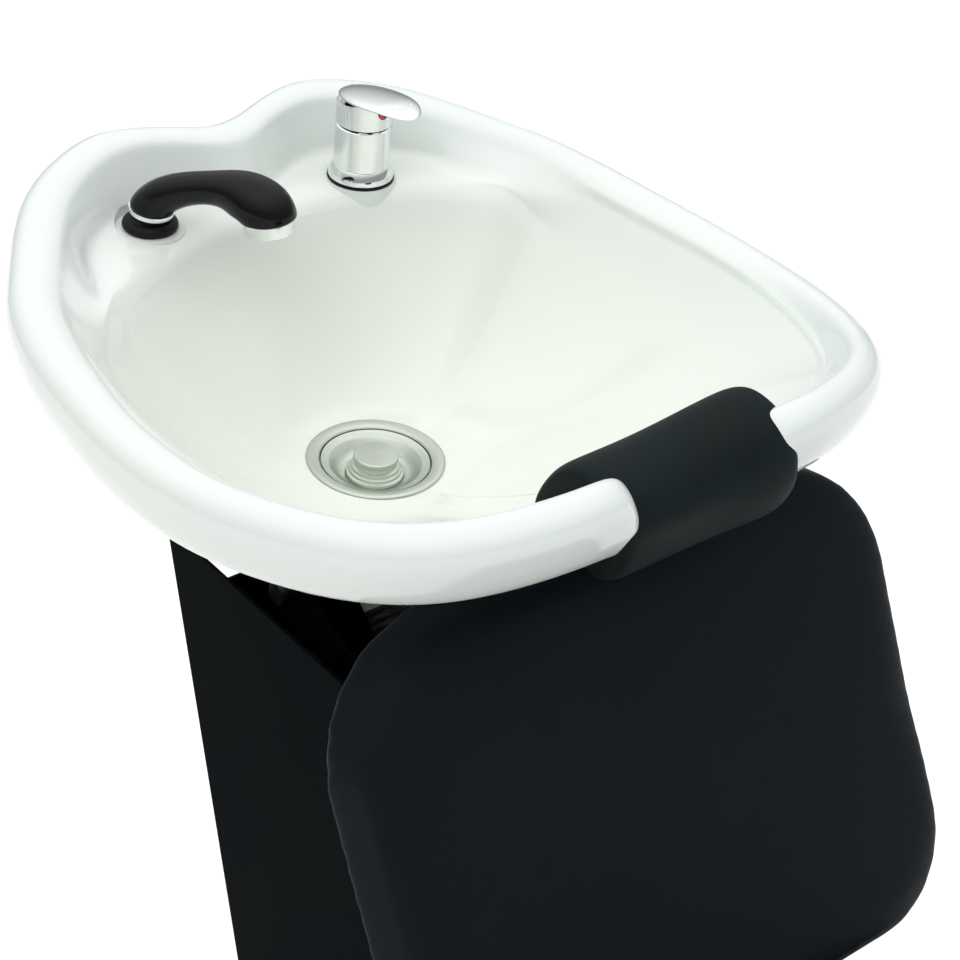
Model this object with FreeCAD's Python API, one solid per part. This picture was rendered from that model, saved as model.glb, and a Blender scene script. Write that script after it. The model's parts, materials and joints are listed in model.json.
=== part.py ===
"""Shampoo backwash unit: tilting ceramic basin on a leaning pedestal, with a reclined back and a seat.

Millimetres.  +X is the client's left, +Y points away from the client, +Z is up, and the origin is on the floor
under the middle of the unit.  Basin pieces are drawn in the basin's own frame, whose origin is the centre
of the drain flange, and are then tipped forward on to the pedestal.
"""
import FreeCAD
import Part
import os
from math import atan2, cos, degrees, hypot, radians, sin, sqrt, tan

from FreeCAD import Vector

# ---- places -------------------------------------------------------------------------------------------
DRAIN_Y = 340.0            # drain centre, behind the middle of the unit
DRAIN_Z = 780.0            # drain centre, above the floor
BASIN_TILT = 9.0           # degrees that the basin leans towards the client
PIVOT_Y = 330.0            # tilt axis of the basin
PIVOT_Z = 705.0

# ---- basin --------------------------------------------------------------------------------------------
WALL = 13.0                # ceramic thickness
HOLE_R = 47.0              # drain hole
FLOOR_R = 60.0             # where the floor starts to rise
ROLL_W = 38.0              # width of the rolled rim
SKIRT_H = 54.0             # height of the rolled rim on the outside
DECK_Z = 148.0             # tap deck
CREASE_Z = 143.0           # front edge of the deck
TAP = (96.0, 160.0)        # mixer tap on the deck
SPRAY = (-94.0, 174.0)     # hand shower on the deck
BOSS_X, BOSS_Y = 70.0, 60.0
NECK_X = (-74.0, 80.0)     # ends of the neck rest; it laps over the rim at its +X end
NECK_RISE = 13.0           # how far its +X end stands above its middle
# half of the rim from the neck notch round to the back: x, y, height of the rim, share of notch
RIM = [(0, -322, 148, 1.0), (24, -324, 149, 1.0), (42, -327, 156, 0.85), (54, -331, 172, 0.5),
       (65, -335, 188, 0.15), (82, -337, 196, 0.0), (112, -336, 197, 0.0), (160, -324, 193, 0.0),
       (207, -300, 188, 0.0), (243, -256, 180, 0.0), (266, -202, 172, 0.0), (280, -146, 165, 0.0),
       (285, -92, 162, 0.0), (285, -44, 161, 0.0), (280, 3, 162, 0.0), (275, 42, 164, 0.0),
       (266, 80, 167, 0.0), (254, 112, 171, 0.0), (237, 140, 175, 0.0), (206, 186, 183, 0.0),
       (176, 218, 190, 0.0), (138, 242, 195, 0.0), (100, 254, 198, 0.0), (62, 250, 196, 0.0),
       (32, 239, 194, 0.0), (0, 232, 192, 0.0)]

# ---- drain --------------------------------------------------------------------------------------------
FLANGE_R = 54.0
BASKET_R = 42.5
CUP_R = 45.0               # outside of the waste body's cup
CUP_DEPTH = 50.0
OUTLET_R = 20.0            # waste pipe, outside

# ---- tap and hand shower ------------------------------------------------------------------------------
TAP_R = 23.0
TAP_SEAM_Z = 48.0          # above the deck
CAP_REAR_Z, CAP_FRONT_Z = 65.0, 71.5      # top of the cap above the deck
LEVER_LEN = 88.0
LEVER_FORWARD = 18.0       # middle of the lever, ahead of the tap's axis
LEVER_PIN = (19.0, 60.6)   # behind the tap's axis, above the deck
SHANK_R = 16.5
HOSE_R = 6.5
SPRAY_DIR = (0.5, -0.866)  # the hand shower arches this way over the basin
NOZZLE_R, FACE_R = 19.4, 17.1
PULL_STRETCH = 215.0       # straight hose that follows the hand shower out

# ---- pedestal -----------------------------------------------------------------------------------------
LEAN = 7.6                 # degrees; the housing leans back on its way up
SHEET = 3.0
HOUSING_HALF = 155.0
HOUSING_FRONT_Y = 19.0     # at the floor
HOUSING_REAR_Y = 299.0     # at the floor
HOUSING_TOP_FRONT_Z = 706.0
HOUSING_TOP_REAR_Z = 752.0
DOOR_TOP = 700.0
PLATE_T = 8.0
PLATE_HALF_X = 200.0
PLATE_Y = (-10.0, 330.0)
ANCHOR_X, ANCHOR_DY, ANCHOR_R = 178.0, 150.0, 6.5
ANCHOR_Y = 160.0
POST = 40.0                # square tube
POST_X, POST_Y = 120.0, 270.0
POST_TOP = 690.0
TUBE_WALL = 3.0
CHEEK_X = (94.0, 100.0)
EAR_X = (86.0, 92.0)
PIVOT_R = 5.0
BUSH_R = 8.0
TRAP_Y = 165.0
WASTE_Y = 86.0
VALVES_X = (48.0, 86.0)
VALVE_Y = 110.0
VALVE_Z = 236.0
INLET_R = 10.5             # half-inch male thread

# ---- seat and back ------------------------------------------------------------------------------------
RECLINE = 20.0
BACK_ORIGIN = (80.0, 874.6)    # y, z of the point that the back's heights are counted from
BACK_HALF = 256.0
BACK_TOP, BACK_BOTTOM = -42.0, -440.0
BACK_TOP_R, BACK_BOTTOM_R = 105.0, 85.0
CUSHION_T, BOARD_T = 43.0, 12.0
SEAT_HALF = 250.0
SEAT_Y = (-563.8, -50.0)
SEAT_Z = (330.0, 430.0)
RAIL_X, RAIL_W, RAIL_H = 120.0, 30.0, 40.0
RAIL_TOP = 318.0
LEG_Y = -500.0
FOOT_R = 22.0


# ---- helpers ------------------------------------------------------------------------------------------
def box(x, y, z):
    """Block between three pairs of limits."""
    return Part.makeBox(x[1] - x[0], y[1] - y[0], z[1] - z[0], Vector(x[0], y[0], z[0]))


def rod(start, end, radius):
    """Round bar between two points."""
    start, end = Vector(*start), Vector(*end)
    return Part.makeCylinder(radius, (end - start).Length, start, end - start)


def pipe(start, end, radius, bore):
    return rod(start, end, radius).cut(rod(start, end, bore))


def turned(profile, x=0.0, y=0.0):
    """Body of revolution about a vertical axis at x, y; the profile is radius, height."""
    points = [Vector(x + r, y, z) for r, z in profile]
    face = Part.Face(Part.makePolygon(points + points[:1]))
    return face.revolve(Vector(x, y, 0), Vector(0, 0, 1), 360)


def side_profile(outline, x):
    """Flat plate with an outline in y, z between two values of x."""
    points = [Vector(x[0], y, z) for y, z in outline]
    return Part.Face(Part.makePolygon(points + points[:1])).extrude(Vector(x[1] - x[0], 0, 0))


def rounded_slab(half, low, high, low_r, high_r, y):
    """Upright slab with rounded corners, half wide each side, between two values of y."""
    arc = sqrt(0.5)

    def corner(cx, cz, r, a, b, c):
        return Part.Arc(*[Vector(cx + r * p, y[0], cz + r * q) for p, q in (a, b, c)]).toShape()

    edges = [corner(half - low_r, low + low_r, low_r, (0, -1), (arc, -arc), (1, 0)),
             corner(half - high_r, high - high_r, high_r, (1, 0), (arc, arc), (0, 1)),
             corner(high_r - half, high - high_r, high_r, (0, 1), (-arc, arc), (-1, 0)),
             corner(low_r - half, low + low_r, low_r, (-1, 0), (-arc, -arc), (0, -1))]
    loop = []
    for i, edge in enumerate(edges):
        after = edges[(i + 1) % 4]
        loop += [edge, Part.makeLine(edge.Vertexes[-1].Point, after.Vertexes[0].Point)]
    face = Part.Face(Part.Wire(loop))
    return face.extrude(Vector(0, y[1] - y[0], 0))


def route(points):
    """Straight runs joined by tangent arcs, each as large as its two runs allow."""
    edges, last = [], points[0]
    for before, here, after in zip(points, points[1:], points[2:]):
        a, b = before - here, after - here
        turn = 180.0 - degrees(a.getAngle(b))
        trim = 0.45 * min(a.Length, b.Length)
        radius = trim / tan(radians(turn) / 2)
        a.normalize()
        b.normalize()
        start, end = here + a * trim, here + b * trim
        bisector = (a + b).normalize()
        centre = here + bisector * hypot(radius, trim)
        edges += [Part.makeLine(last, start), Part.Arc(start, centre - bisector * radius, end).toShape()]
        last = end
        print("  arc radius", round(radius))
    edges.append(Part.makeLine(last, points[-1]))
    return Part.Wire(edges)


def hose(name, points, radius):
    """Solid hose along a route."""
    path = route(points)
    start = Part.Wire(Part.makeCircle(radius, points[0], points[1] - points[0]))
    solid = path.makePipeShell([start], True, False)
    print(name, "length", round(path.Length), "volume ratio",
          round(solid.Volume / (3.14159265 * radius ** 2 * path.Length), 4))
    return solid


def in_basin(shape):
    """Move a piece from the basin's frame to its place on the pedestal."""
    moved = shape.copy()
    moved.rotate(Vector(0, 0, 0), Vector(1, 0, 0), BASIN_TILT)
    moved.translate(Vector(0, DRAIN_Y, DRAIN_Z))
    return moved


def basin_point(x, y, z):
    c, s = cos(radians(BASIN_TILT)), sin(radians(BASIN_TILT))
    return Vector(x, DRAIN_Y + y * c - z * s, DRAIN_Z + y * s + z * c)


def in_lean(shape, y=HOUSING_REAR_Y):
    """Move a piece drawn upright so that it follows the housing's lean from the floor at y."""
    moved = shape.copy()
    moved.rotate(Vector(0, 0, 0), Vector(1, 0, 0), -LEAN)
    moved.translate(Vector(0, y, 0))
    return moved


def in_back(shape):
    """Move a piece from the back's upright frame to its reclined place."""
    moved = shape.copy()
    moved.rotate(Vector(0, 0, 0), Vector(1, 0, 0), -RECLINE)
    moved.translate(Vector(0, *BACK_ORIGIN))
    return moved


def mirrored(shape):
    return shape.mirror(Vector(0, 0, 0), Vector(1, 0, 0))


def save(name, shape):
    bad = "" if shape.isValid() and shape.Volume > 0 else "  NOT VALID"
    print(name, "solids", len(shape.Solids), "cm3", round(shape.Volume / 1000, 1), bad)
    shape.exportStep("parts/" + name + ".step")


def both_sides(*shapes):
    """Pieces on the +X side together with their mirror images."""
    return Part.makeCompound([*shapes, *[mirrored(shape) for shape in shapes]])


# ---- basin --------------------------------------------------------------------------------------------
def ease(low, high, value):
    t = min(1.0, max(0.0, (value - low) / (high - low)))
    return t * t * (3 - 2 * t)


def blend(a, b, share):
    return a + (b - a) * share


def rolling_ball(chain, radius, r):
    """Height at r of the lower surface that a ball of the wall's thickness leaves under a chain of points."""
    low = None
    for (r1, z1), (r2, z2) in zip(chain, chain[1:]):
        for i in range(12):
            q, z = blend(r1, r2, i / 12), blend(z1, z2, i / 12)
            if abs(q - r) < radius:
                reach = z - sqrt(radius ** 2 - (q - r) ** 2)
                low = reach if low is None else min(low, reach)
    return low


def basin_section(x, y, top, notch):
    """Closed section of the ceramic on the ray from the drain to a point of the rim: radius, height."""
    edge = hypot(x, y)
    ux, uy = x / edge, y / edge
    angle = degrees(atan2(uy, abs(ux)))
    deck = ease(8, 24, angle)
    front = ease(-20, -60, angle)
    inner = edge - ROLL_W + 8 * notch
    inner_z = top - 6 - 16 * front * (1 - notch)
    power = 1.75 - 0.35 * front - 0.25 * notch

    def plain(r):
        return 1.5 + (inner_z - 1.5) * max((r - FLOOR_R) / (inner - FLOOR_R), 0) ** power

    crease_deck = 1 / hypot(ux / 215, max(uy, 0.2) / 150)
    foot_deck = edge - 58 - 22 * (1 - ease(14, 40, angle))
    crease = blend(FLOOR_R + (inner - FLOOR_R) * 0.8, crease_deck, deck)
    foot = max(blend(inner - 8, foot_deck, deck), crease + 16)
    crease_z = blend(plain(crease), CREASE_Z, deck)
    foot_z = blend(plain(foot), DECK_Z + 3, deck)

    floor = [(FLOOR_R, 1.5)]
    for share in (0.14, 0.32, 0.52, 0.72, 0.88, 0.97):
        r = blend(FLOOR_R, crease, share)
        floor.append((r, blend(plain(r), 1.5 + (crease_z - 1.5) * share ** 1.45, deck)))
    middle = (crease + foot) / 2
    floor += [(crease + 6, blend(plain(crease + 6), crease_z + 2, deck)),
              (middle, blend(plain(middle), (crease_z + foot_z) / 2 + 1, deck)),
              (foot - 1, foot_z - 1)]
    wall = [(blend(foot, inner, 0.35), blend(foot_z, inner_z, 0.3)),
            (inner - 3, blend(foot_z, inner_z, 0.82)),
            (inner + 1, inner_z + 1)]
    roll = [(edge - 27, top - 0.5), (edge - 14, top), (edge - 4, top - 7), (edge, top - 20)]
    h = SKIRT_H - 22 * notch
    skirt = [(edge - 3, top - 0.72 * h), (edge - 10, top - 0.96 * h), (edge - 17, top - h),
             (edge - 25, top - 0.93 * h)]
    chain = floor + wall
    under = []
    outer = edge - 33
    for share in (1.0, 0.88, 0.74, 0.58, 0.42, 0.26, 0.12, 0.0):
        r = blend(FLOOR_R, outer, share)
        under.append((r, rolling_ball(chain, WALL, r)))
    hole = [(HOLE_R - 3, -13), (HOLE_R - 5, -8), (HOLE_R - 3, -2)]
    return hole + floor + wall + roll + skirt + under


def basin_grid():
    """Sections all round the rim, starting at the neck and going anticlockwise."""
    rows = []
    half = [(rim, 1) for rim in RIM] + [(rim, -1) for rim in RIM[-2:0:-1]]
    for (x, y, top, notch), side in half:
        edge = hypot(x, y)
        section = basin_section(x, y, top, notch)
        rows.append([Vector(side * x * r / edge, y * r / edge, z) for r, z in section])
    return rows


def sharpened(ring):
    """Move the points of a closed ring out, so that a cubic spline drawn on them passes near the points."""
    n = len(ring)
    return [ring[i] * (4 / 3) - (ring[i - 1] + ring[(i + 1) % n]) * (1 / 6) for i in range(n)]


def smooth_ring_solid(rows):
    """Solid inside a smooth surface that closes both round the rows and along them."""
    rows = [sharpened(row) for row in rows]
    columns = [sharpened(list(column)) for column in zip(*rows)]
    poles = [list(row) for row in zip(*columns)]
    m, n = len(poles), len(poles[0])
    surface = Part.BSplineSurface()
    surface.buildFromPolesMultsKnots(poles, [1] * (m + 1), [1] * (n + 1), list(range(m + 1)),
                                     list(range(n + 1)), True, True, 3, 3)
    round_cuts = [m * i // 10 for i in range(11)]
    along_cuts = [n * i // 4 for i in range(5)]
    patches = []
    for u0, u1 in zip(round_cuts, round_cuts[1:]):
        for v0, v1 in zip(along_cuts, along_cuts[1:]):
            patch = surface.copy()
            patch.segment(u0, u1, v0, v1)
            patches.append(patch.toShape())
    shell = Part.Shell(patches)
    shell.sewShape()
    solid = Part.Solid(shell)
    if solid.Volume < 0:
        solid.reverse()
    return solid


def seat_pads(x, y, radius, top, under):
    """Flat seats for a fitting: metal to add below the top, and the spaces to clear above and below."""
    pad = rod((x, y, under), (x, y, top), radius)
    return pad, [rod((x, y, top), (x, y, top + 30), radius), rod((x, y, under - 40), (x, y, under), radius)]


def make_basin():
    solid = smooth_ring_solid(basin_grid())
    print("basin shell", solid.isValid(), round(solid.Volume / 1000))
    for x, y in ((BOSS_X, BOSS_Y), (-BOSS_X, BOSS_Y), (BOSS_X, -BOSS_Y), (-BOSS_X, -BOSS_Y)):
        solid = solid.fuse(rod((x, y, -26), (x, y, 2), 15))
    for (x, y), radius in ((TAP, 29), (SPRAY, 27)):
        pad, spaces = seat_pads(x, y, radius, DECK_Z, DECK_Z - 14)
        solid = solid.fuse(pad)
        for space in spaces:
            solid = solid.cut(space)
    solid = solid.cut(rod((0, 0, -60), (0, 0, 60), HOLE_R))
    solid = solid.cut(rod((0, 0, 0), (0, 0, 20), FLANGE_R + 0.6))
    solid = solid.cut(rod((0, 0, -40), (0, 0, -13), FLANGE_R + 6))
    solid = solid.cut(rod((*TAP, 100), (*TAP, 200), SHANK_R + 1))
    solid = solid.cut(rod((*SPRAY, 100), (*SPRAY, 200), 15))
    for x, y in ((BOSS_X, BOSS_Y), (-BOSS_X, BOSS_Y), (BOSS_X, -BOSS_Y), (-BOSS_X, -BOSS_Y)):
        solid = solid.cut(rod((x, y, -27), (x, y, -6), 4.05))
    return solid


def make_neck_rest(basin):
    """Rubber pad that fills the neck notch, laps over the rim at one end and hangs down over its front."""
    wires = []
    for share in (0.0, 0.04, 0.15, 0.35, 0.6, 0.8, 0.92, 0.97, 1.0):
        x = blend(*NECK_X, share)
        rise = NECK_RISE * ease(0.3, 1.0, share)
        out = -7 * ease(0.55, 0.9, share)
        outline = [(-243, 136), (-254, 162), (-267, 180 + 0.7 * rise), (-286, 188 + rise), (-306, 187 + rise),
                   (-322 + out, 180 + rise), (-333 + out, 168 + 0.6 * rise), (-338 + out, 155), (-334 + out, 138),
                   (-328 + 0.5 * out, 120), (-316, 111), (-300, 118), (-276, 122), (-250, 120)]
        end = abs(share - 0.5) * 2
        size = 1 - 0.24 * max(0.0, end - 0.9) / 0.1
        centre = Vector(x, -290, 153)
        ring = [centre + (Vector(x, py, pz) - centre) * size for py, pz in outline]
        curve = Part.BSplineCurve()
        curve.buildFromPolesMultsKnots(sharpened(ring), [1] * 15, list(range(15)), True, 3)
        wires.append(Part.Wire([curve.toShape()]))
    solid = Part.makeLoft(wires, True).cut(basin)
    return max(solid.Solids, key=lambda piece: piece.Volume)


# ---- drain --------------------------------------------------------------------------------------------
def make_drain():
    save("drain_flange", in_basin(turned([
        (BASKET_R + 1, -3.5), (BASKET_R + 1, -0.5), (BASKET_R + 3.5, 1.2), (FLANGE_R - 3, 2.4),
        (FLANGE_R, 1.0), (FLANGE_R, 0), (HOLE_R - 0.5, 0), (HOLE_R - 0.5, -3.5)])))
    cup = turned([(CUP_R, -3.5), (CUP_R, -CUP_DEPTH), (OUTLET_R + 2, -CUP_DEPTH - 8),
                  (OUTLET_R - 1, -CUP_DEPTH - 8), (OUTLET_R - 1, -CUP_DEPTH - 22),
                  (OUTLET_R - 3, -CUP_DEPTH - 22), (OUTLET_R - 3, -CUP_DEPTH - 5),
                  (CUP_R - 2, -CUP_DEPTH + 2), (CUP_R - 2, -12), (BASKET_R - 2, -10),
                  (BASKET_R - 2, -7), (BASKET_R + 1, -7), (BASKET_R + 1, -3.5)])
    save("waste_cup", in_basin(cup))
    gasket = pipe((0, 0, -16), (0, 0, -13), FLANGE_R + 2, CUP_R + 0.2)
    tap_washer = pipe((*TAP, DECK_Z - 17), (*TAP, DECK_Z - 14), 27, SHANK_R + 0.2)
    save("underside_gaskets", in_basin(Part.makeCompound([gasket, tap_washer])))
    nut = pipe((0, 0, -24), (0, 0, -16), FLANGE_R, CUP_R + 0.1)
    for i in range(6):
        lug = box((FLANGE_R - 3, FLANGE_R + 4), (-6, 6), (-24, -16))
        nut = nut.fuse(lug.rotate(Vector(0, 0, 0), Vector(0, 0, 1), 60 * i))
    low = -CUP_DEPTH - 22
    tail_nut = pipe((0, 0, low - 8), (0, 0, low + 12), OUTLET_R + 5, OUTLET_R - 0.9)
    save("waste_nuts", in_basin(Part.makeCompound([nut.removeSplitter(), tail_nut])))

    plate = turned([(22.7, -12.5), (27, -12), (31.5, -8), (35, -3.4), (38, -2.2), (40.5, -1.6),
                    (BASKET_R, -0.6), (BASKET_R, -2), (40.5, -3), (38, -3.6), (35, -5), (31.5, -9.6),
                    (27, -13.6), (22.7, -14)])
    basket = pipe((0, 0, -32), (0, 0, -5.5), BASKET_R - 6, BASKET_R - 7.2)
    bottom = rod((0, 0, -33.2), (0, 0, -32), BASKET_R - 6)
    for ring_r, count in ((30, 18), (22, 12), (14, 8)):
        for i in range(count):
            hole = rod((ring_r, 0, -40), (ring_r, 0, -20), 2.0)
            bottom = bottom.cut(hole.rotate(Vector(0, 0, 0), Vector(0, 0, 1), 360 * i / count))
    save("strainer_plate", in_basin(plate))
    save("strainer_basket", in_basin(basket.fuse(bottom)))
    save("strainer_knob", in_basin(turned([
        (0, -31.9), (3, -31.9), (3, -14), (22.6, -14), (22.6, -9.8), (20.4, -9.4), (20.4, -7), (18.8, -6.6),
        (18.8, -3.6), (16.6, -3), (16.6, 0.6), (17.7, 1.4), (17.7, 4.6), (16.8, 5.4), (0, 5)])))

    elbow = [Vector(0, 0, low), Vector(0, 0, low - 26), Vector(0, -26, low - 52)]
    save("tail_elbow", in_basin(hose("tail_elbow", elbow, OUTLET_R - 1)))
    return basin_point(0, -26.2, low - 52.2), basin_point(0, -66, low - 92)


def stretched_ball(rx, ry, rz):
    """Ellipsoid about the origin."""
    stretch = FreeCAD.Matrix()
    stretch.scale(rx, ry, rz)
    return Part.makeSphere(1, Vector(0, 0, 0)).transformGeometry(stretch)


# ---- mixer tap ----------------------------------------------------------------------------------------
def make_tap():
    x, y = TAP
    seam = DECK_Z + TAP_SEAM_Z
    skin = TAP_R - 0.2
    save("tap_gasket", in_basin(pipe((x, y, DECK_Z), (x, y, DECK_Z + 2), 27, SHANK_R)))
    save("tap_base_ring", in_basin(turned([
        (TAP_R - 4, 2), (26.5, 2), (26.5, 5), (25.5, 8), (TAP_R, 13), (TAP_R - 4, 13)], x, y).translate(
            Vector(0, 0, DECK_Z))))
    save("tap_body", in_basin(turned([
        (TAP_R - 4.1, 2), (TAP_R - 4.1, 13), (skin, 13.2), (skin, TAP_SEAM_Z - 1),
        (TAP_R - 1.5, TAP_SEAM_Z), (0, TAP_SEAM_Z), (0, 2)], x, y).translate(Vector(0, 0, DECK_Z))))

    slope = degrees(atan2(CAP_FRONT_Z - CAP_REAR_Z, 2 * TAP_R))
    top = DECK_Z + (CAP_REAR_Z + CAP_FRONT_Z) / 2
    pin_y, pin_z = y + LEVER_PIN[0], DECK_Z + LEVER_PIN[1]
    cap = turned([(0, seam + 0.6), (TAP_R - 1.5, seam + 0.6), (skin, seam + 1.6), (skin, top + 20),
                  (0, top + 20)], x, y)
    above = box((x - 40, x + 40), (y - 60, y + 60), (top, top + 60)).rotate(
        Vector(x, y, top), Vector(1, 0, 0), -slope)
    cap = cap.cut(above).cut(box((x - 4.5, x + 4.5), (pin_y - 5, pin_y + 12), (pin_z - 5, top + 20)))
    save("tap_cap", in_basin(cap.cut(rod((x - 10, pin_y, pin_z), (x + 10, pin_y, pin_z), 2.8))))
    mark = seam + 15.5
    save("tap_index_dot", in_basin(rod((x, y - skin, mark), (x, y - skin - 1.2, mark), 4)))

    paddle = stretched_ball(TAP_R + 0.5, LEVER_LEN / 2, 9)
    paddle = paddle.cut(stretched_ball(TAP_R - 2.5, LEVER_LEN / 2 - 4, 5.5))
    paddle = paddle.cut(box((-60, 60), (-60, 60), (-30, 0)))
    paddle = paddle.fuse(pipe((0, LEVER_FORWARD, 0), (0, LEVER_FORWARD, 7), 14, 10))
    paddle.translate(Vector(x, y - LEVER_FORWARD, top + 0.5))
    paddle.rotate(Vector(x, y, top + 0.5), Vector(1, 0, 0), -slope)
    lug = box((x - 4, x + 4), (pin_y - 3, pin_y + 3), (pin_z - 2, top + 2))
    lug = lug.fuse(rod((x - 9, pin_y, pin_z), (x + 9, pin_y, pin_z), 2.5))
    save("tap_lever", in_basin(paddle.fuse(lug)))
    save("tap_shank", in_basin(rod((x, y, DECK_Z - 60), (x, y, DECK_Z + 2), SHANK_R)))
    nut = pipe((x, y, DECK_Z - 27), (x, y, DECK_Z - 17), 25, SHANK_R + 0.05)
    grommet_nut = pipe((*SPRAY, DECK_Z - 22), (*SPRAY, DECK_Z - 14.2), 20, 10)
    save("deck_back_nuts", in_basin(Part.makeCompound([nut, grommet_nut])))


# ---- hand shower --------------------------------------------------------------------------------------
def spray_point(reach, height):
    """Point of the hand shower's upright plane, counted from its grommet."""
    return Vector(SPRAY[0] + SPRAY_DIR[0] * reach, SPRAY[1] + SPRAY_DIR[1] * reach, height)


def make_hand_shower():
    x, y = SPRAY
    save("spray_grommet", in_basin(turned([
        (8.5, -14), (14.8, -14), (14.8, 0), (19.6, 0), (21.6, 2.6), (21, 6), (18, 7.7), (10, 7.4), (8.5, 4)],
        x, y).translate(Vector(0, 0, DECK_Z))))

    def section(reach, rise, radius, lean):
        """Circle across the grip; its axis leans towards the head by an angle in degrees."""
        ring = Part.makeCircle(radius)
        ring.rotate(Vector(0, 0, 0), Vector(-SPRAY_DIR[1], SPRAY_DIR[0], 0), lean)
        ring.translate(spray_point(reach, DECK_Z + rise))
        return Part.Wire(ring)

    collar = Part.makeLoft([section(0.4, 10.4, 16, 8), section(1.2, 17.6, 17.5, 8)], True)
    spine = [(1.2, 17.6, 17.2, 8), (6, 26, 15.8, 34), (18, 35, 14.2, 56), (36, 43, 12.9, 72), (57, 47.5, 13.4, 88),
             (79, 47.5, 19, 120), (97, 34, 22, 172)]
    shell = Part.makeLoft([section(*at) for at in spine], True)
    save("spray_collar", in_basin(collar))
    save("spray_shell", in_basin(shell.cut(collar)))
    lean = radians(spine[-1][3])
    axis = spray_point(sin(lean), cos(lean)) - spray_point(0, 0)
    mouth = spray_point(spine[-1][0], DECK_Z + spine[-1][1])
    face_at = mouth + axis * 7.5
    ring = Part.makeCylinder(NOZZLE_R, 10.5, mouth, axis).cut(Part.makeCylinder(FACE_R, 4, face_at, axis))
    save("spray_nozzle_ring", in_basin(ring))
    save("spray_face", in_basin(Part.makeCylinder(FACE_R, 2, face_at, axis)))
    low = DECK_Z + 11.2 - PULL_STRETCH
    save("spray_hose_stretch", in_basin(rod((x, y, low), (x, y, DECK_Z + 12), HOSE_R).cut(collar)))
    tail = TAP[1] + 9
    loop = [basin_point(TAP[0], tail, DECK_Z - 60.3), basin_point(TAP[0], tail, DECK_Z - 116),
            basin_point(TAP[0] + 4, tail, -44), basin_point(TAP[0] - 4, tail + 1, -118),
            basin_point(46, tail + 2, -170), basin_point(-44, y - 1, -170), basin_point(x, y, low - 62),
            basin_point(x, y, low - 0.4)]
    save("spray_hose_loop", hose("spray_hose_loop", loop, HOSE_R))


# ---- supply and waste inside the pedestal -------------------------------------------------------------
def make_plumbing(tail_start, tail_next):
    waste = [tail_start, tail_next, Vector(0, 243, 545), Vector(0, 196, 460), Vector(0, TRAP_Y, 380),
             Vector(0, TRAP_Y, 310.2)]
    save("waste_hose", hose("waste_hose", waste, OUTLET_R - 1))
    trap = turned([(0, 184), (33, 184), (33, 280), (22, 292), (22, 310), (OUTLET_R - 2, 310),
                   (OUTLET_R - 2, 294), (30, 278), (30, 187), (0, 187)], 0, TRAP_Y)
    port = rod((0, TRAP_Y - 20, 262), (0, WASTE_Y + OUTLET_R, 262), 17)
    port = port.cut(rod((0, TRAP_Y, 262), (0, WASTE_Y, 262), 14.5))
    port = port.cut(rod((0, TRAP_Y, 190), (0, TRAP_Y, 300), 30))
    trap = trap.cut(rod((0, TRAP_Y, 262), (0, WASTE_Y, 262), 14.5)).fuse(port)
    save("trap_body", trap)
    save("trap_cup", turned([(0, 140), (28, 140), (34, 148), (34, 183.9), (0, 183.9)], 0, TRAP_Y))
    save("waste_outlet", pipe((0, WASTE_Y, 3), (0, WASTE_Y, 280), OUTLET_R, OUTLET_R - 2.5).fuse(
        rod((0, WASTE_Y, 278), (0, WASTE_Y, 284), OUTLET_R)).fuse(
        pipe((0, WASTE_Y, PLATE_T), (0, WASTE_Y, PLATE_T + 4), 34, OUTLET_R - 2.5)).cut(
        rod((0, WASTE_Y, 262), (0, WASTE_Y + 40, 262), 14.5)))
    bodies, knobs = [], []
    for x in VALVES_X:
        body = box((x - 14, x + 14), (VALVE_Y - 14, VALVE_Y + 14), (VALVE_Z, VALVE_Z + 46))
        body = body.fuse(rod((x, VALVE_Y, 3), (x, VALVE_Y, VALVE_Z), INLET_R))
        body = body.fuse(rod((x, VALVE_Y, VALVE_Z + 46), (x, VALVE_Y, VALVE_Z + 58), 8))
        bodies.append(body.cut(rod((x, VALVE_Y, VALVE_Z + 24), (x, VALVE_Y + 20, VALVE_Z + 24), 5.05)))
        stem = rod((x, VALVE_Y + 4, VALVE_Z + 24), (x, VALVE_Y + 28, VALVE_Z + 24), 5)
        grip = rod((x, VALVE_Y + 20, VALVE_Z + 24), (x, VALVE_Y + 36, VALVE_Z + 24), 13)
        wing = box((x - 4, x + 4), (VALVE_Y + 24, VALVE_Y + 40), (VALVE_Z + 8, VALVE_Z + 40))
        knobs.append(stem.fuse(grip).fuse(wing))
    save("stop_valves", Part.makeCompound(bodies))
    save("valve_knob_hot", knobs[0])
    save("valve_knob_cold", knobs[1])
    bracket = box((40, 130), (VALVE_Y - 18, VALVE_Y - 14), (PLATE_T, VALVE_Z + 40))
    bracket = bracket.fuse(box((40, 130), (VALVE_Y - 18, VALVE_Y + 24), (PLATE_T, PLATE_T + 4)))
    for x in VALVES_X:
        bracket = bracket.cut(rod((x, VALVE_Y, 0), (x, VALVE_Y, 30), INLET_R + 1))
    save("valve_bracket", bracket)
    hoses = []
    shank_end = DECK_Z - 60.3
    for name, x, tail in (("hot", VALVES_X[0], -8), ("cold", VALVES_X[1], 8)):
        top = TAP[0] + tail
        points = [basin_point(top, TAP[1] - 4, shank_end), basin_point(top, TAP[1] - 4, shank_end - 46),
                  Vector(top - 6, 474, 778), Vector(blend(top, x, 0.3), 405, 728),
                  Vector(blend(top, x, 0.5), 335, 640), Vector(blend(top, x, 0.65), 262, 530),
                  Vector(blend(top, x, 0.8), 180, 430), Vector(x, VALVE_Y, VALVE_Z + 118),
                  Vector(x, VALVE_Y, VALVE_Z + 58.2)]
        hoses.append(hose("supply_hose_" + name, points, HOSE_R))
    save("supply_hoses", Part.makeCompound(hoses))


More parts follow.
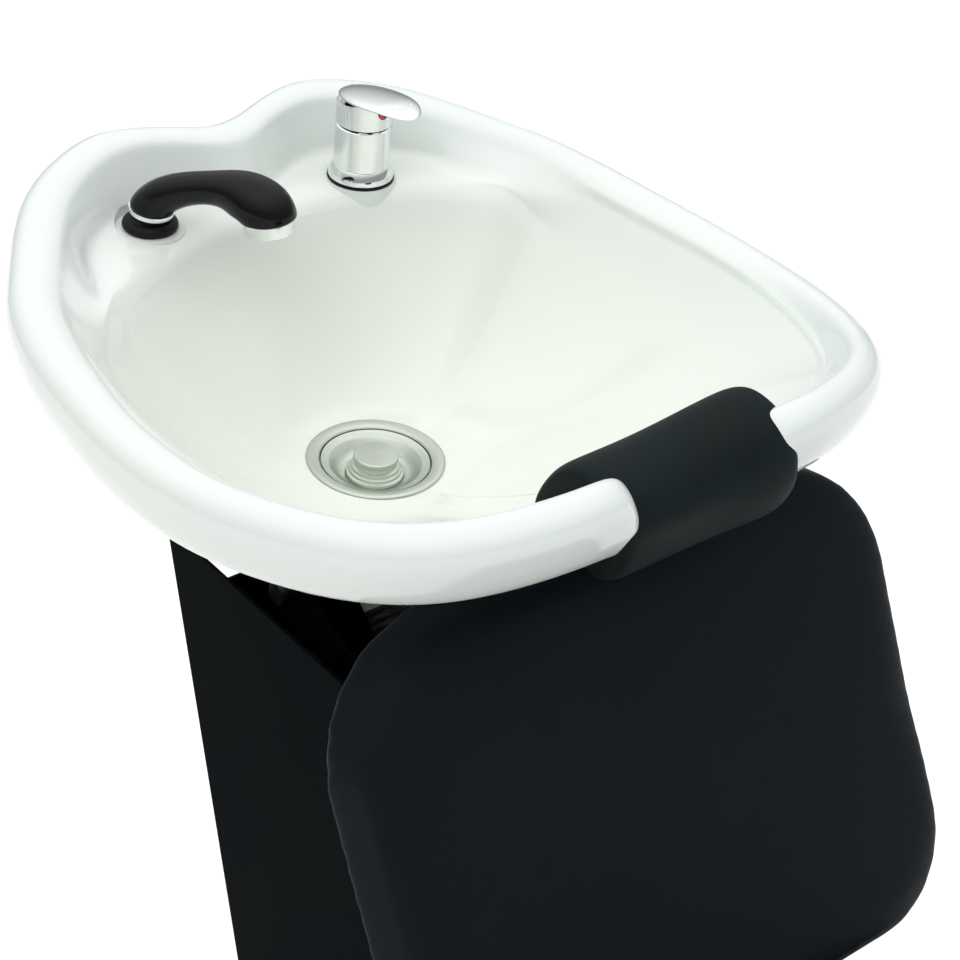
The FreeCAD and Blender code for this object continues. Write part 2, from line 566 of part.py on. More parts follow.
# ---- tilt joint ---------------------------------------------------------------------------------------
def make_tilt_joint():
    c, s = cos(radians(BASIN_TILT)), sin(radians(BASIN_TILT))
    dy, dz = PIVOT_Y - DRAIN_Y, PIVOT_Z - DRAIN_Z
    py, pz = dy * c + dz * s, dz * c - dy * s
    bracket = box((-EAR_X[1], EAR_X[1]), (-82, 82), (-31, -26)).cut(rod((0, 0, -40), (0, 0, 0), FLANGE_R + 5))
    ear = side_profile([(py - 24, -27), (py - 16, pz - 10), (py - 8, pz - 16), (py + 8, pz - 16),
                        (py + 16, pz - 10), (py + 34, -27)], EAR_X)
    ear = ear.cut(rod((0, py, pz), (200, py, pz), BUSH_R))
    bracket = bracket.fuse(ear).fuse(mirrored(ear))
    bolts = []
    for x, y in ((BOSS_X, BOSS_Y), (-BOSS_X, BOSS_Y), (BOSS_X, -BOSS_Y), (-BOSS_X, -BOSS_Y)):
        bracket = bracket.cut(rod((x, y, -40), (x, y, 0), 4.1))
        bolts.append(rod((x, y, -36), (x, y, -31), 7).fuse(rod((x, y, -31), (x, y, -8), 4)))
    save("basin_bracket", in_basin(bracket))
    save("basin_bolts", in_basin(Part.makeCompound(bolts)))

    def at_pivot(x0, x1, radius, bore=0.0):
        bar = rod((x0, PIVOT_Y, PIVOT_Z), (x1, PIVOT_Y, PIVOT_Z), radius)
        return bar.cut(rod((x0 - 1, PIVOT_Y, PIVOT_Z), (x1 + 1, PIVOT_Y, PIVOT_Z), bore)) if bore else bar

    cheek = side_profile([(POST_Y - 20, 600), (POST_Y + 20, 600), (PIVOT_Y + 18, PIVOT_Z - 16),
                          (PIVOT_Y + 18, PIVOT_Z + 12), (PIVOT_Y + 8, PIVOT_Z + 18), (PIVOT_Y - 12, PIVOT_Z + 18),
                          (POST_Y - 20, POST_TOP - 8)], CHEEK_X)
    cheek = cheek.cut(at_pivot(90, 110, PIVOT_R + 0.05))
    heads = []
    for z in (625, 665):
        bolt = rod((88, POST_Y, z), (94, POST_Y, z), 6.5).fuse(rod((94, POST_Y, z), (100, POST_Y, z), 4))
        heads.append(bolt)
        cheek = cheek.cut(rod((90, POST_Y, z), (110, POST_Y, z), 4.02))
    save("yoke_cheeks", both_sides(cheek))
    pivot = at_pivot(EAR_X[0] - 8, CHEEK_X[1], PIVOT_R).fuse(at_pivot(CHEEK_X[1], CHEEK_X[1] + 7, 9))
    save("yoke_bolts", both_sides(pivot, *heads))
    save("pivot_bushes", both_sides(at_pivot(EAR_X[0], EAR_X[1], BUSH_R, PIVOT_R + 0.05)))
    save("friction_washers", both_sides(at_pivot(EAR_X[1] + 0.1, CHEEK_X[0], 15, PIVOT_R + 0.05)))


# ---- pedestal -----------------------------------------------------------------------------------------
def front_y(z):
    return HOUSING_FRONT_Y + z * tan(radians(LEAN))


def rear_y(z):
    return HOUSING_REAR_Y + z * tan(radians(LEAN))


def square_tube(x, y, z, along):
    """Hollow rectangular tube; along is 0, 1 or 2 for the axis that it runs along."""
    limits = [list(x), list(y), list(z)]
    outer = box(*limits)
    for axis in range(3):
        grow = 1 if axis == along else -TUBE_WALL
        limits[axis] = [limits[axis][0] - grow, limits[axis][1] + grow]
    return outer.cut(box(*limits))


def rails_and_arms():
    """Limits in x and z of the tubes that pass through the front of the housing."""
    x = (RAIL_X - RAIL_W / 2, RAIL_X + RAIL_W / 2)
    return [(x, (RAIL_TOP - RAIL_H, RAIL_TOP)), (x, (500, 530)), (x, (606, 636))]


def make_pedestal():
    plate = box((-PLATE_HALF_X, PLATE_HALF_X), PLATE_Y, (0, PLATE_T))
    plate = plate.makeFillet(18, [e for e in plate.Edges if abs(e.tangentAt(e.FirstParameter).z) > 0.9])
    for sx in (-1, 1):
        for sy in (-1, 1):
            x, y = sx * ANCHOR_X, ANCHOR_Y + sy * ANCHOR_DY
            plate = plate.cut(rod((x, y, -1), (x, y, PLATE_T + 1), ANCHOR_R))
    plate = plate.cut(rod((0, WASTE_Y, -1), (0, WASTE_Y, PLATE_T + 1), OUTLET_R + 3))
    for x in VALVES_X:
        plate = plate.cut(rod((x, VALVE_Y, -1), (x, VALVE_Y, PLATE_T + 1), INLET_R + 3))
    save("floor_plate", plate)
    post = square_tube((POST_X - POST / 2, POST_X + POST / 2), (POST_Y - POST / 2, POST_Y + POST / 2),
                       (PLATE_T, POST_TOP), 2)
    crossbar = square_tube((-POST_X + POST / 2, POST_X - POST / 2), (POST_Y - 20, POST_Y + 20), (400, 440), 0)
    save("pedestal_frame", Part.makeCompound([post, mirrored(post), crossbar]))
    side = side_profile([(front_y(PLATE_T), PLATE_T), (rear_y(PLATE_T), PLATE_T),
                         (rear_y(HOUSING_TOP_REAR_Z), HOUSING_TOP_REAR_Z),
                         (front_y(HOUSING_TOP_FRONT_Z), HOUSING_TOP_FRONT_Z)],
                        (HOUSING_HALF - SHEET, HOUSING_HALF))
    save("housing_side_left", side)
    save("housing_side_right", mirrored(side))
    stop = box((HOUSING_HALF - SHEET - 12, HOUSING_HALF - SHEET), (-2 * SHEET - 0.3, -SHEET - 0.3), (30, 690))
    save("door_stops", both_sides(in_lean(stop)))
    width = HOUSING_HALF - SHEET - 0.1
    front = in_lean(box((-width, width), (0, SHEET), (12, 700)), HOUSING_FRONT_Y)
    for (x0, x1), (z0, z1) in rails_and_arms():
        hole = box((x0 - 1, x1 + 1), (-60, 200), (z0 - 1, z1 + 1))
        front = front.cut(hole).cut(mirrored(hole))
    save("housing_front", front)


def make_service_door():
    door = box((-150, 149), (-SHEET, 0), (16, DOOR_TOP))
    door = door.cut(rod((-130, -20, 400), (-130, 20, 400), 8.1))
    for i in range(7):
        slot = box((-60, 60), (-10, 10), (90 + 14 * i, 95 + 14 * i))
        door = door.cut(slot)
    save("service_door", in_lean(door))
    latch = rod((-130, -13, 400), (-130, 1, 400), 8).fuse(rod((-130, 0.1, 400), (-130, 6, 400), 14))
    latch = latch.fuse(box((-134, -126), (6, 12), (388, 412)))
    latch = latch.fuse(box((-137, -123), (-13, -9.5), (382, 406)))
    save("door_latch", in_lean(latch))
    leaves, door_leaves, pins = [], [], []
    for z in (120, 580):
        axis_a, axis_b = (151, 5, z), (151, 5, z + 60)
        pin = rod((151, 5, z - 2), (151, 5, z + 62), 2.5)
        fixed = rod(axis_a, (151, 5, z + 29.5), 5).fuse(box((149.5, 155), (0.2, 5), (z, z + 29.5)))
        moving = rod((151, 5, z + 30), axis_b, 5).fuse(box((112, 151), (0.2, 2.2), (z + 30, z + 60)))
        bore = rod((151, 5, z - 5), (151, 5, z + 65), 2.55)
        leaves.append(fixed.cut(bore))
        door_leaves.append(moving.cut(bore))
        pins.append(pin)
    save("hinge_housing_leaves", in_lean(Part.makeCompound(leaves)))
    save("hinge_door_leaves", in_lean(Part.makeCompound(door_leaves)))
    save("hinge_pins", in_lean(Part.makeCompound(pins)))


# ---- back ---------------------------------------------------------------------------------------------
def make_back():
    cushion = rounded_slab(BACK_HALF, BACK_BOTTOM, BACK_TOP, BACK_BOTTOM_R, BACK_TOP_R, (0, CUSHION_T))
    front = [e for e in cushion.Edges if e.BoundBox.YMax < 0.1]
    cushion = cushion.makeFillet(14, front)
    rear = [e for e in cushion.Edges if e.BoundBox.YMin > CUSHION_T - 0.1]
    cushion = cushion.makeFillet(5, rear)
    save("back_cushion", in_back(cushion))
    inset = 14
    board = rounded_slab(BACK_HALF - inset, BACK_BOTTOM + inset, BACK_TOP - inset, BACK_BOTTOM_R - inset,
                         BACK_TOP_R - inset, (CUSHION_T, CUSHION_T + BOARD_T))
    behind = CUSHION_T + BOARD_T
    screws = []
    half_space = in_back(box((0, 300), (behind, 600), (-700, 100)))
    bracket = in_back(box((RAIL_X - 26, RAIL_X + 26), (behind, behind + 5), (-390, -220)))
    for x, z in rails_and_arms()[1:]:
        arm = square_tube(x, (-60, POST_Y - POST / 2), z, 1)
        bracket = bracket.fuse(arm.common(half_space))
    for z in (-240, -370):
        for x in (RAIL_X - 20, RAIL_X + 20):
            head = rod((x, behind + 5, z), (x, behind + 8, z), 5)
            screw = head.fuse(rod((x, behind - 9, z), (x, behind + 5, z), 2.5))
            screws += [screw, mirrored(screw)]
            hole = rod((x, behind - 9.1, z), (x, behind + 6, z), 2.55)
            bracket = bracket.cut(in_back(hole))
            board = board.cut(hole).cut(mirrored(hole))
    save("back_board", in_back(board))
    save("back_brackets", both_sides(bracket))
    return in_back(Part.makeCompound(screws)).Solids


# ---- seat ---------------------------------------------------------------------------------------------
def make_seat(back_screws):
    cushion = box((-SEAT_HALF, SEAT_HALF), SEAT_Y, SEAT_Z)
    upright = [e for e in cushion.Edges if abs(e.tangentAt(e.FirstParameter).z) > 0.9]
    cushion = cushion.makeFillet(60, upright)
    top = [e for e in cushion.Edges if e.BoundBox.ZMin > SEAT_Z[1] - 0.1]
    cushion = cushion.makeFillet(24, top)
    save("seat_cushion", cushion)
    board = box((-SEAT_HALF + 14, SEAT_HALF - 14), (SEAT_Y[0] + 14, SEAT_Y[1] - 14), (RAIL_TOP, SEAT_Z[0]))
    board = board.makeFillet(46, [e for e in board.Edges if abs(e.tangentAt(e.FirstParameter).z) > 0.9])
    screws = []
    crossbars = []
    inner = RAIL_X - RAIL_W / 2
    for y in (-480, -130):
        bar = square_tube((-inner, inner), (y - 15, y + 15), (RAIL_TOP - 30, RAIL_TOP), 0)
        for x in (-70, 70):
            drill = rod((x, y, RAIL_TOP - 40), (x, y, RAIL_TOP + 9), 2.55)
            bar = bar.cut(drill)
            board = board.cut(drill)
            screws.append(rod((x, y, RAIL_TOP - 33), (x, y, RAIL_TOP - 30), 5).fuse(
                rod((x, y, RAIL_TOP - 30), (x, y, RAIL_TOP + 8.9), 2.5)))
        crossbars.append(bar)
    save("seat_board", board)
    save("upholstery_screws", Part.makeCompound(screws + back_screws))
    rail_x = (RAIL_X - RAIL_W / 2, RAIL_X + RAIL_W / 2)
    rail_end = SEAT_Y[0] + 30
    rail = square_tube(rail_x, (rail_end, POST_Y - POST / 2), (RAIL_TOP - RAIL_H, RAIL_TOP), 1)
    leg = square_tube(rail_x, (LEG_Y - 20, LEG_Y + 20), (40, RAIL_TOP - RAIL_H), 2)
    leg = leg.fuse(box(rail_x, (LEG_Y - 20, LEG_Y + 20), (40, 46)).cut(
        rod((RAIL_X, LEG_Y, 0), (RAIL_X, LEG_Y, 60), 5.05)))
    stretcher = square_tube((-inner, inner), (LEG_Y - 12, LEG_Y + 12), (110, 140), 0)
    save("seat_frame", Part.makeCompound([rail, leg, mirrored(rail), mirrored(leg), stretcher, *crossbars]))
    foot = turned([(0, 0), (FOOT_R, 0), (FOOT_R, 4), (FOOT_R - 6, 9), (8, 12), (5, 12), (5, 62), (0, 62)],
                  RAIL_X, LEG_Y)
    save("levelling_feet", both_sides(foot))
    save("foot_lock_nuts", both_sides(pipe((RAIL_X, LEG_Y, 32), (RAIL_X, LEG_Y, 40), 9, 5.05)))


def main():
    os.makedirs("parts", exist_ok=True)
    basin = make_basin()
    save("basin", in_basin(basin))
    save("neck_rest", in_basin(make_neck_rest(basin)))
    tail_start, tail_next = make_drain()
    make_tap()
    make_hand_shower()
    make_plumbing(tail_start, tail_next)
    make_tilt_joint()
    make_pedestal()
    make_service_door()
    make_seat(make_back())


main()
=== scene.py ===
"""Looks of a shampoo backwash unit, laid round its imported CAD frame.

Laid out as an add-on that is run as a script.  Metres, +Z up, the frame's own axes.
"""
import json
from math import atan2, cos, pi, radians, sin

import bmesh
import bpy
import numpy as np
from bpy.props import FloatProperty, FloatVectorProperty
from mathutils import Matrix, Vector


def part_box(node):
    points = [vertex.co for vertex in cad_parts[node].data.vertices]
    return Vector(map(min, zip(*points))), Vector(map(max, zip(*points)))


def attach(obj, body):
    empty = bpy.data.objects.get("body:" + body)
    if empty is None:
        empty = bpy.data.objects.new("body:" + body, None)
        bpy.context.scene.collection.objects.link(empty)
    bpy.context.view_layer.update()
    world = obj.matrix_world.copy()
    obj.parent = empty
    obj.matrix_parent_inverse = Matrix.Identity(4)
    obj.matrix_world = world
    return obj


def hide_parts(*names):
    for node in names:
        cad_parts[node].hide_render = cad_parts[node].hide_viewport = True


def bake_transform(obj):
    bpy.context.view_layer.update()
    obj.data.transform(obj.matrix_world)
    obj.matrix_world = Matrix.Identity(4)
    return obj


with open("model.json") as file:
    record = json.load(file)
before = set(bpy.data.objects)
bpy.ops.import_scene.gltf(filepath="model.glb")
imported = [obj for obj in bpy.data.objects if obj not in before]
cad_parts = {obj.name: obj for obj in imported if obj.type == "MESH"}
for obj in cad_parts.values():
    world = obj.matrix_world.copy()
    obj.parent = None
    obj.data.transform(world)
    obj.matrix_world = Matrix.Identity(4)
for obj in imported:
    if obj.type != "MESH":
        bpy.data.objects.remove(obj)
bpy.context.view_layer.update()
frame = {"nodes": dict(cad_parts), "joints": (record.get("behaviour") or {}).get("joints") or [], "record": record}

bl_info = {
    "name": "Shampoo backwash unit",
    "version": (1, 0, 0),
    "blender": (4, 5, 0),
    "location": "View3D > Sidebar > Backwash",
    "description": "Models the visible pieces of a salon backwash unit round its frame",
    "category": "Add Mesh",
}

JOINTS = {joint["name"]: joint for joint in frame["joints"]}
MM = 0.001
# the basin is drawn level, with the middle of its drain at the origin, and then tipped into place
BASIN_UP = Vector(JOINTS["shower_pull"]["axis"])
BASIN_TILT = atan2(-BASIN_UP.y, BASIN_UP.z)
DRAIN = Vector(JOINTS["basin_tilt"]["pos_m"]) + Vector((0, 10, 75)) * MM
TO_BASIN = Matrix.Translation(DRAIN) @ Matrix.Rotation(BASIN_TILT, 4, "X")
DECK_Z = 148.0
TAP = TO_BASIN.inverted() @ Vector(JOINTS["tap_turn"]["pos_m"]) / MM
SPRAY = Vector((-94.0, 174.0, DECK_Z))
SPRAY_WAY = Vector((0.5, -0.866, 0.0))
# hoses, in millimetres: the pitches of their covers are in metres
HOSE_R, WASTE_R = 6.5, 19.0
BRAID_PITCH, RIB_PITCH = 0.006, 0.007
STRETCH_TOP, STRETCH_LEN = 11.2, 215.0     # straight hose behind the hand shower, from above the deck down
SHANK_LEN, SHANK_TO_TAIL = 60.3, 9.0       # the tap's shank below the deck, and its outlet's offset
VALVE_X, VALVE_Y, VALVE_TOP_Z = (48.0, 86.0), 110.0, 294.2
# tap lever, in millimetres
LEVER_AHEAD, LEVER_MIDDLE_Z = 18.0, 68.75  # from the tap's axis and from the deck
LEVER_SLOPE = atan2(6.5, 46.0)
LEVER_THICK, LEVER_LIFT, LIP_LEN, LIP_DROP = 5.0, 2.3, 28.0, 0.006
PIN_BEHIND, PIN_Z, PIN_R, PIN_HALF = 19.0, 60.6, 2.5, 9.0
NECK_R = 13.0
# back, in millimetres
BACK_RECLINE = radians(20)
BACK_FRONT_MIDDLE, BACK_THICK = (0.0, 80.0, 874.6), 43.0
EVEN_ROUNDS, FIRM_DEPTH = 60, 30.0          # how evenly a cover swells, and from what depth it does fully
SIDE_COLOUR = {"subtype": "COLOR", "min": 0.0, "max": 1.0, "size": 3}


# ---- sizes and colours that a user would change --------------------------------------------------------
class StageSettings(bpy.types.PropertyGroup):
    """Camera, lights and floor."""
    azimuth: FloatProperty(name="Azimuth", description="Side that the camera looks from",
                           default=radians(-39.6), subtype="ANGLE")
    elevation: FloatProperty(name="Elevation", description="Height of the camera as an angle",
                             default=radians(27.95), subtype="ANGLE")
    roll: FloatProperty(name="Roll", description="Turn of the camera about its own axis",
                        default=radians(-0.82), subtype="ANGLE")
    lens: FloatProperty(name="Lens", description="Focal length on a 36 mm sensor",
                        default=85.22, unit="CAMERA")
    station: FloatVectorProperty(name="Station", description="Camera's place, counted from the drain",
                                 default=(-0.9337, -1.2550, 0.8095), subtype="TRANSLATION", unit="LENGTH")
    sky: FloatProperty(name="Sky", description="Strength of the even light", default=1.55, min=0.0)
    key: FloatProperty(name="Key light", description="Power of the large soft light in watts",
                       default=14.0, min=0.0)
    floor_colour: FloatVectorProperty(name="Floor", description="Colour of the floor",
                                      default=(0.97, 0.97, 0.97), **SIDE_COLOUR)


class FinishSettings(bpy.types.PropertyGroup):
    """Colours of the finishes."""
    glaze: FloatVectorProperty(name="Glaze", description="Colour of the bowl's glaze",
                               default=(0.745, 0.78, 0.715), **SIDE_COLOUR)
    rubber: FloatVectorProperty(name="Neck rest", description="Colour of the neck rest's rubber",
                                default=(0.003, 0.0062, 0.0066), **SIDE_COLOUR)
    vinyl: FloatVectorProperty(name="Vinyl", description="Colour of the upholstery",
                               default=(0.0045, 0.0068, 0.0095), **SIDE_COLOUR)
    steel: FloatVectorProperty(name="Drain steel", description="Colour of the brushed steel",
                               default=(0.56, 0.60, 0.54), **SIDE_COLOUR)
    powder: FloatVectorProperty(name="Powder coat", description="Colour of the pedestal",
                                default=(0.002, 0.0032, 0.004), **SIDE_COLOUR)


class ShapeSettings(bpy.types.PropertyGroup):
    """Sizes of the modelled pieces, in millimetres."""
    lever_long: FloatProperty(name="Lever length", description="Length of the tap's lever",
                              default=88.0, min=40.0)
    lever_wide: FloatProperty(name="Lever width", description="Width of the tap's lever",
                              default=46.0, min=20.0)
    rest_rise: FloatProperty(name="Neck rest rise", description="How far its far end stands higher",
                             default=13.0, min=0.0)
    crown: FloatProperty(name="Crown", description="How far the stuffing may push the covers out",
                         default=6.0, min=0.0)
    voxel: FloatProperty(name="Cloth grid", description="Grid of the covers before they are blown up",
                         default=6.5, min=3.0)


# ---- materials -----------------------------------------------------------------------------------------
class Flow:
    """A number that leaves a socket. Its operators add the Math nodes."""

    def __init__(self, finish, socket):
        self.finish = finish
        self.socket = socket

    def math(self, operation, *others):
        return self.finish.node("Math", {"operation": operation}, dict(enumerate((self, *others))))

    def __add__(self, other):
        return self.math("ADD", other)

    __radd__ = __add__

    def __sub__(self, other):
        return self.math("SUBTRACT", other)

    def __rsub__(self, other):
        return self.finish.node("Math", {"operation": "SUBTRACT"}, {0: other, 1: self})

    def __mul__(self, other):
        return self.math("MULTIPLY", other)

    __rmul__ = __mul__

    def __truediv__(self, other):
        return self.math("DIVIDE", other)

    def __rtruediv__(self, other):
        return self.finish.node("Math", {"operation": "DIVIDE"}, {0: other, 1: self})

    def __pow__(self, other):
        return self.math("POWER", other)


class Finish:
    """A material whose pattern is written as expressions."""

    def __init__(self, name):
        self.material = bpy.data.materials.new(name)
        self.material.use_nodes = True
        self.tree = self.material.node_tree
        self.shader = self.tree.nodes["Principled BSDF"]
        self.place = self.node("TexCoord", output="Object")

    def put(self, socket, value):
        if isinstance(value, Flow):
            self.tree.links.new(value.socket, socket)
        elif hasattr(value, "__len__") and len(value) == 3 and socket.type == "RGBA":
            socket.default_value = (*value, 1.0)
        else:
            socket.default_value = value

    def node(self, kind, settings=None, inputs=None, output=0):
        """Adds a node, sets it up, fills its sockets and gives one of its outputs."""
        made = self.tree.nodes.new("ShaderNode" + kind)
        settings = dict(settings or {})
        stops = settings.pop("stops", None)
        for key, value in settings.items():
            setattr(made, key, value)
        if stops:
            ramp = made.color_ramp
            while len(ramp.elements) < len(stops):
                ramp.elements.new(0.5)
            for element, (where, colour) in zip(ramp.elements, stops):
                element.position = where
                element.color = (*colour, 1.0)
        for key, value in (inputs or {}).items():
            self.put(made.inputs[key], value)
        return Flow(self, made.outputs[output])

    def noise(self, scale, detail=2.0, vector=None, roughness=0.5):
        return self.node("TexNoise", {}, {"Vector": vector or self.place, "Scale": scale, "Detail": detail,
                                          "Roughness": roughness}, "Fac")

    def cells(self, scale, feature="F1", vector=None):
        return self.node("TexVoronoi", {"feature": feature}, {"Vector": vector or self.place, "Scale": scale},
                         "Distance")

    def fit(self, value, low, high, new_low=0.0, new_high=1.0):
        """Straight change of range, held inside the new limits."""
        return self.node("MapRange", {}, {0: value, 1: low, 2: high, 3: new_low, 4: new_high})

    def mix(self, share, first, second):
        return self.node("Mix", {"data_type": "RGBA"}, {0: share, 6: first, 7: second}, 2)

    def moved(self, matrix, stretch=(1, 1, 1)):
        """Object coordinates seen from a piece's own level frame."""
        back = matrix.inverted()
        turned = self.node("Mapping", {}, {"Vector": self.place, "Location": back.translation,
                                           "Rotation": back.to_euler()})
        return self.node("Mapping", {}, {"Vector": turned, "Scale": stretch})

    def parts(self, vector):
        split = self.node("SeparateXYZ", {}, {0: vector}).socket.node
        return [Flow(self, socket) for socket in split.outputs]

    def bump(self, height, depth, strength=1.0):
        return self.node("Bump", {}, {"Height": height, "Distance": depth, "Strength": strength})

    def surface(self, **sockets):
        """Fills the shader's sockets; a name's spaces are written as underlines."""
        for key, value in sockets.items():
            self.put(self.shader.inputs[key.replace("_", " ").title().replace("Ior", "IOR")], value)
        return self.material


def glaze(colour):
    """Thick sanitary glaze, hardly uneven, with painted light: the rim is painted a little cooler than the bowl,
    as the light falls on it.
    """
    f = Finish("glazed_ceramic")
    height = f.parts(f.moved(TO_BASIN))[2]
    # painted light: the rim's cooler tint, laid on by height in the basin's own frame
    painted_rim_tint = f.fit(height, 0.11, 0.19)
    cloud = f.noise(9.0, 3.0)
    base = f.mix(painted_rim_tint * 0.8 + cloud * 0.2, colour, (0.69, 0.735, 0.73))
    flow = f.noise(38.0, 2.0)
    return f.surface(base_color=base, roughness=f.fit(cloud, 0.3, 0.7, 0.10, 0.17),
                     coat_weight=0.35, coat_roughness=0.05, normal=f.bump(flow, 0.00025, 0.25))


def turned_steel(name, colour, centre, polish=0.0):
    """Steel brushed in circles round an axis."""
    f = Finish(name)
    x, y, z = f.parts(f.moved(centre))
    radius = (x * x + y * y) ** 0.5
    turn = f.node("Math", {"operation": "ARCTAN2"}, {0: y, 1: x})
    swirl = f.node("CombineXYZ", {}, {0: radius * 900.0, 1: turn * 1.3, 2: z * 500.0})
    lines = f.noise(2.2, 3.0, swirl, 0.7)
    wear = f.noise(24.0, 3.0)
    shade = f.mix(lines, [c * 0.82 for c in colour], [min(1.0, c * 1.12) for c in colour])
    return f.surface(base_color=shade, metallic=1.0,
                     roughness=f.fit(lines * 0.6 + wear * 0.4, 0.3, 0.7, 0.27 - polish, 0.42 - polish),
                     anisotropic=0.5, normal=f.bump(lines, 0.00006, 0.35))


def chrome():
    """Bright plating with faint wipe marks and water spots."""
    f = Finish("polished_chrome")
    wipe = f.noise(3.0, 3.0, f.node("Mapping", {}, {"Vector": f.place, "Scale": (60, 60, 14)}))
    spots = f.fit(f.cells(260.0), 0.04, 0.09, 1.0, 0.0)
    rare = f.fit(f.noise(70.0, 1.0), 0.58, 0.66)
    return f.surface(base_color=f.mix(wipe, (0.78, 0.80, 0.80), (0.88, 0.89, 0.89)), metallic=1.0,
                     roughness=f.fit(wipe, 0.3, 0.7, 0.035, 0.09) + spots * rare * 0.12,
                     normal=f.bump(f.noise(30.0), 0.0001, 0.15))


def moulded_rubber(name, colour, pale=2.6, rough=0.55):
    """Soft rubber with a dusty, mottled face."""
    f = Finish(name)
    mottle = f.noise(14.0, 6.0, roughness=0.65)
    grain = f.noise(900.0, 2.0)
    dust = f.fit(mottle, 0.42, 0.75)
    return f.surface(base_color=f.mix(dust * 0.6 + grain * 0.15, colour, [c * pale for c in colour]),
                     roughness=f.fit(mottle, 0.3, 0.7, rough - 0.07, rough + 0.12),
                     specular_ior_level=0.1, sheen_weight=0.02, sheen_roughness=0.5,
                     normal=f.bump(grain + mottle * 0.6, 0.00012, 0.5))


def gloss_plastic(name, colour, rough=0.09):
    """Black moulded plastic with a polished tool face and fine hairline scratches."""
    f = Finish(name)
    handled = f.noise(26.0, 4.0)
    hair = f.noise(1.0, 2.0, f.node("Mapping", {}, {"Vector": f.place, "Scale": (40, 900, 300)}))
    return f.surface(base_color=f.mix(handled, colour, [c * 1.8 + 0.001 for c in colour]),
                     roughness=f.fit(handled, 0.3, 0.75, rough, rough + 0.1) + f.fit(hair, 0.66, 0.7) * 0.08,
                     specular_ior_level=0.22, normal=f.bump(handled, 0.0002, 0.12))


def vinyl(colour):
    """Smooth black upholstery vinyl with a fine pebbled grain."""
    f = Finish("black_vinyl")
    pebble = f.fit(f.cells(620.0, "DISTANCE_TO_EDGE"), 0.0, 0.14)
    broad = f.noise(7.0, 4.0)
    fine = f.noise(240.0, 3.0)
    worn = f.fit(broad, 0.3, 0.75) * 0.7 + fine * 0.2
    return f.surface(base_color=f.mix(worn, colour, [c * 1.5 for c in colour]),
                     roughness=f.fit(broad * 0.5 + fine * 0.5, 0.35, 0.65, 0.44, 0.56),
                     specular_ior_level=0.05, normal=f.bump(pebble * 0.7 + fine * 0.3, 0.00011, 0.5))


def powder_coat(colour):
    """Black powder coat with a fine orange peel."""
    f = Finish("black_powder_coat")
    peel = f.noise(420.0, 3.0)
    rub = f.noise(5.0, 5.0)
    return f.surface(base_color=f.mix(f.fit(rub, 0.4, 0.8), colour, [c * 1.7 for c in colour]),
                     roughness=f.fit(rub, 0.3, 0.7, 0.5, 0.62), specular_ior_level=0.01,
                     normal=f.bump(peel, 0.00009, 0.6))


def plated_steel(name, colour, rough):
    """Plated fastener steel with crystal patches and turned marks."""
    f = Finish(name)
    patch = f.node("TexVoronoi", {}, {"Vector": f.place, "Scale": 160.0}, "Color")
    shade = f.parts(patch)[0]
    scuff = f.noise(300.0, 3.0)
    bright = [min(1.0, c * 1.35) for c in colour]
    return f.surface(base_color=f.mix(shade * 0.6 + scuff * 0.3, colour, bright),
                     metallic=1.0, roughness=f.fit(scuff, 0.3, 0.7, rough - 0.08, rough + 0.1),
                     normal=f.bump(scuff, 0.00005, 0.4))


def moulded_plastic(name, colour, rough=0.42):
    """Unpolished moulded plastic with a spark texture and slight yellowing."""
    f = Finish(name)
    spark = f.noise(700.0, 2.0)
    age = f.noise(12.0, 3.0)
    yellow = [colour[0] * 0.92, colour[1] * 0.9, colour[2] * 0.82]
    return f.surface(base_color=f.mix(age * 0.7, colour, yellow),
                     roughness=f.fit(spark, 0.3, 0.7, rough - 0.05, rough + 0.08),
                     normal=f.bump(spark, 0.00007, 0.4))


def plywood():
    """Black stained ply: long grain on the faces and glued layers on the edges."""
    f = Finish("stained_plywood")
    grain = f.noise(5.0, 5.0, f.node("Mapping", {}, {"Vector": f.place, "Scale": (3, 30, 30)}), 0.6)
    x, y, z = f.parts(f.place)
    layers = f.fit((z * 700.0 + y * 240.0).math("SINE"), -0.2, 0.6)
    shade = f.mix(grain * 0.7 + layers * 0.25, (0.012, 0.011, 0.010), (0.004, 0.004, 0.004))
    return f.surface(base_color=shade, roughness=f.fit(grain, 0.3, 0.7, 0.5, 0.66), specular_ior_level=0.15,
                     normal=f.bump(grain, 0.0002, 0.4))


def braid(name, dark, bright, metal):
    """Braided cover that follows a hose: two sets of strands that cross."""
    f = Finish(name)
    u, v, _ = f.parts(f.node("UVMap", {}, {}, 0))
    left = ((u * 16.0 + v) * (2 * pi)).math("SINE")
    right = ((u * 16.0 - v) * (2 * pi)).math("SINE")
    over = f.fit(left * right, -0.4, 0.5)
    worn = f.noise(90.0, 3.0)
    return f.surface(base_color=f.mix(over * 0.8 + worn * 0.2, dark, bright), metallic=metal,
                     roughness=f.fit(worn, 0.3, 0.7, 0.30, 0.45), normal=f.bump(over, 0.0004, 0.8))


def ribbed_hose(name, dark, bright):
    """Corrugated plastic hose, with painted shade: darker in the grooves between its ribs and lighter on their
    crests.
    """
    f = Finish(name)
    u, v, _ = f.parts(f.node("UVMap", {}, {}, 0))
    ring = f.fit((v * (2 * pi)).math("SINE"), -0.8, 0.8)
    stain = f.noise(30.0, 4.0)
    # painted shade: the colour follows the rib height, dark in the grooves and light on the crests
    return f.surface(base_color=f.mix(ring * 0.6 + stain * 0.4, dark, bright),
                     roughness=f.fit(stain, 0.3, 0.7, 0.4, 0.55), normal=f.bump(ring, 0.001, 0.8))


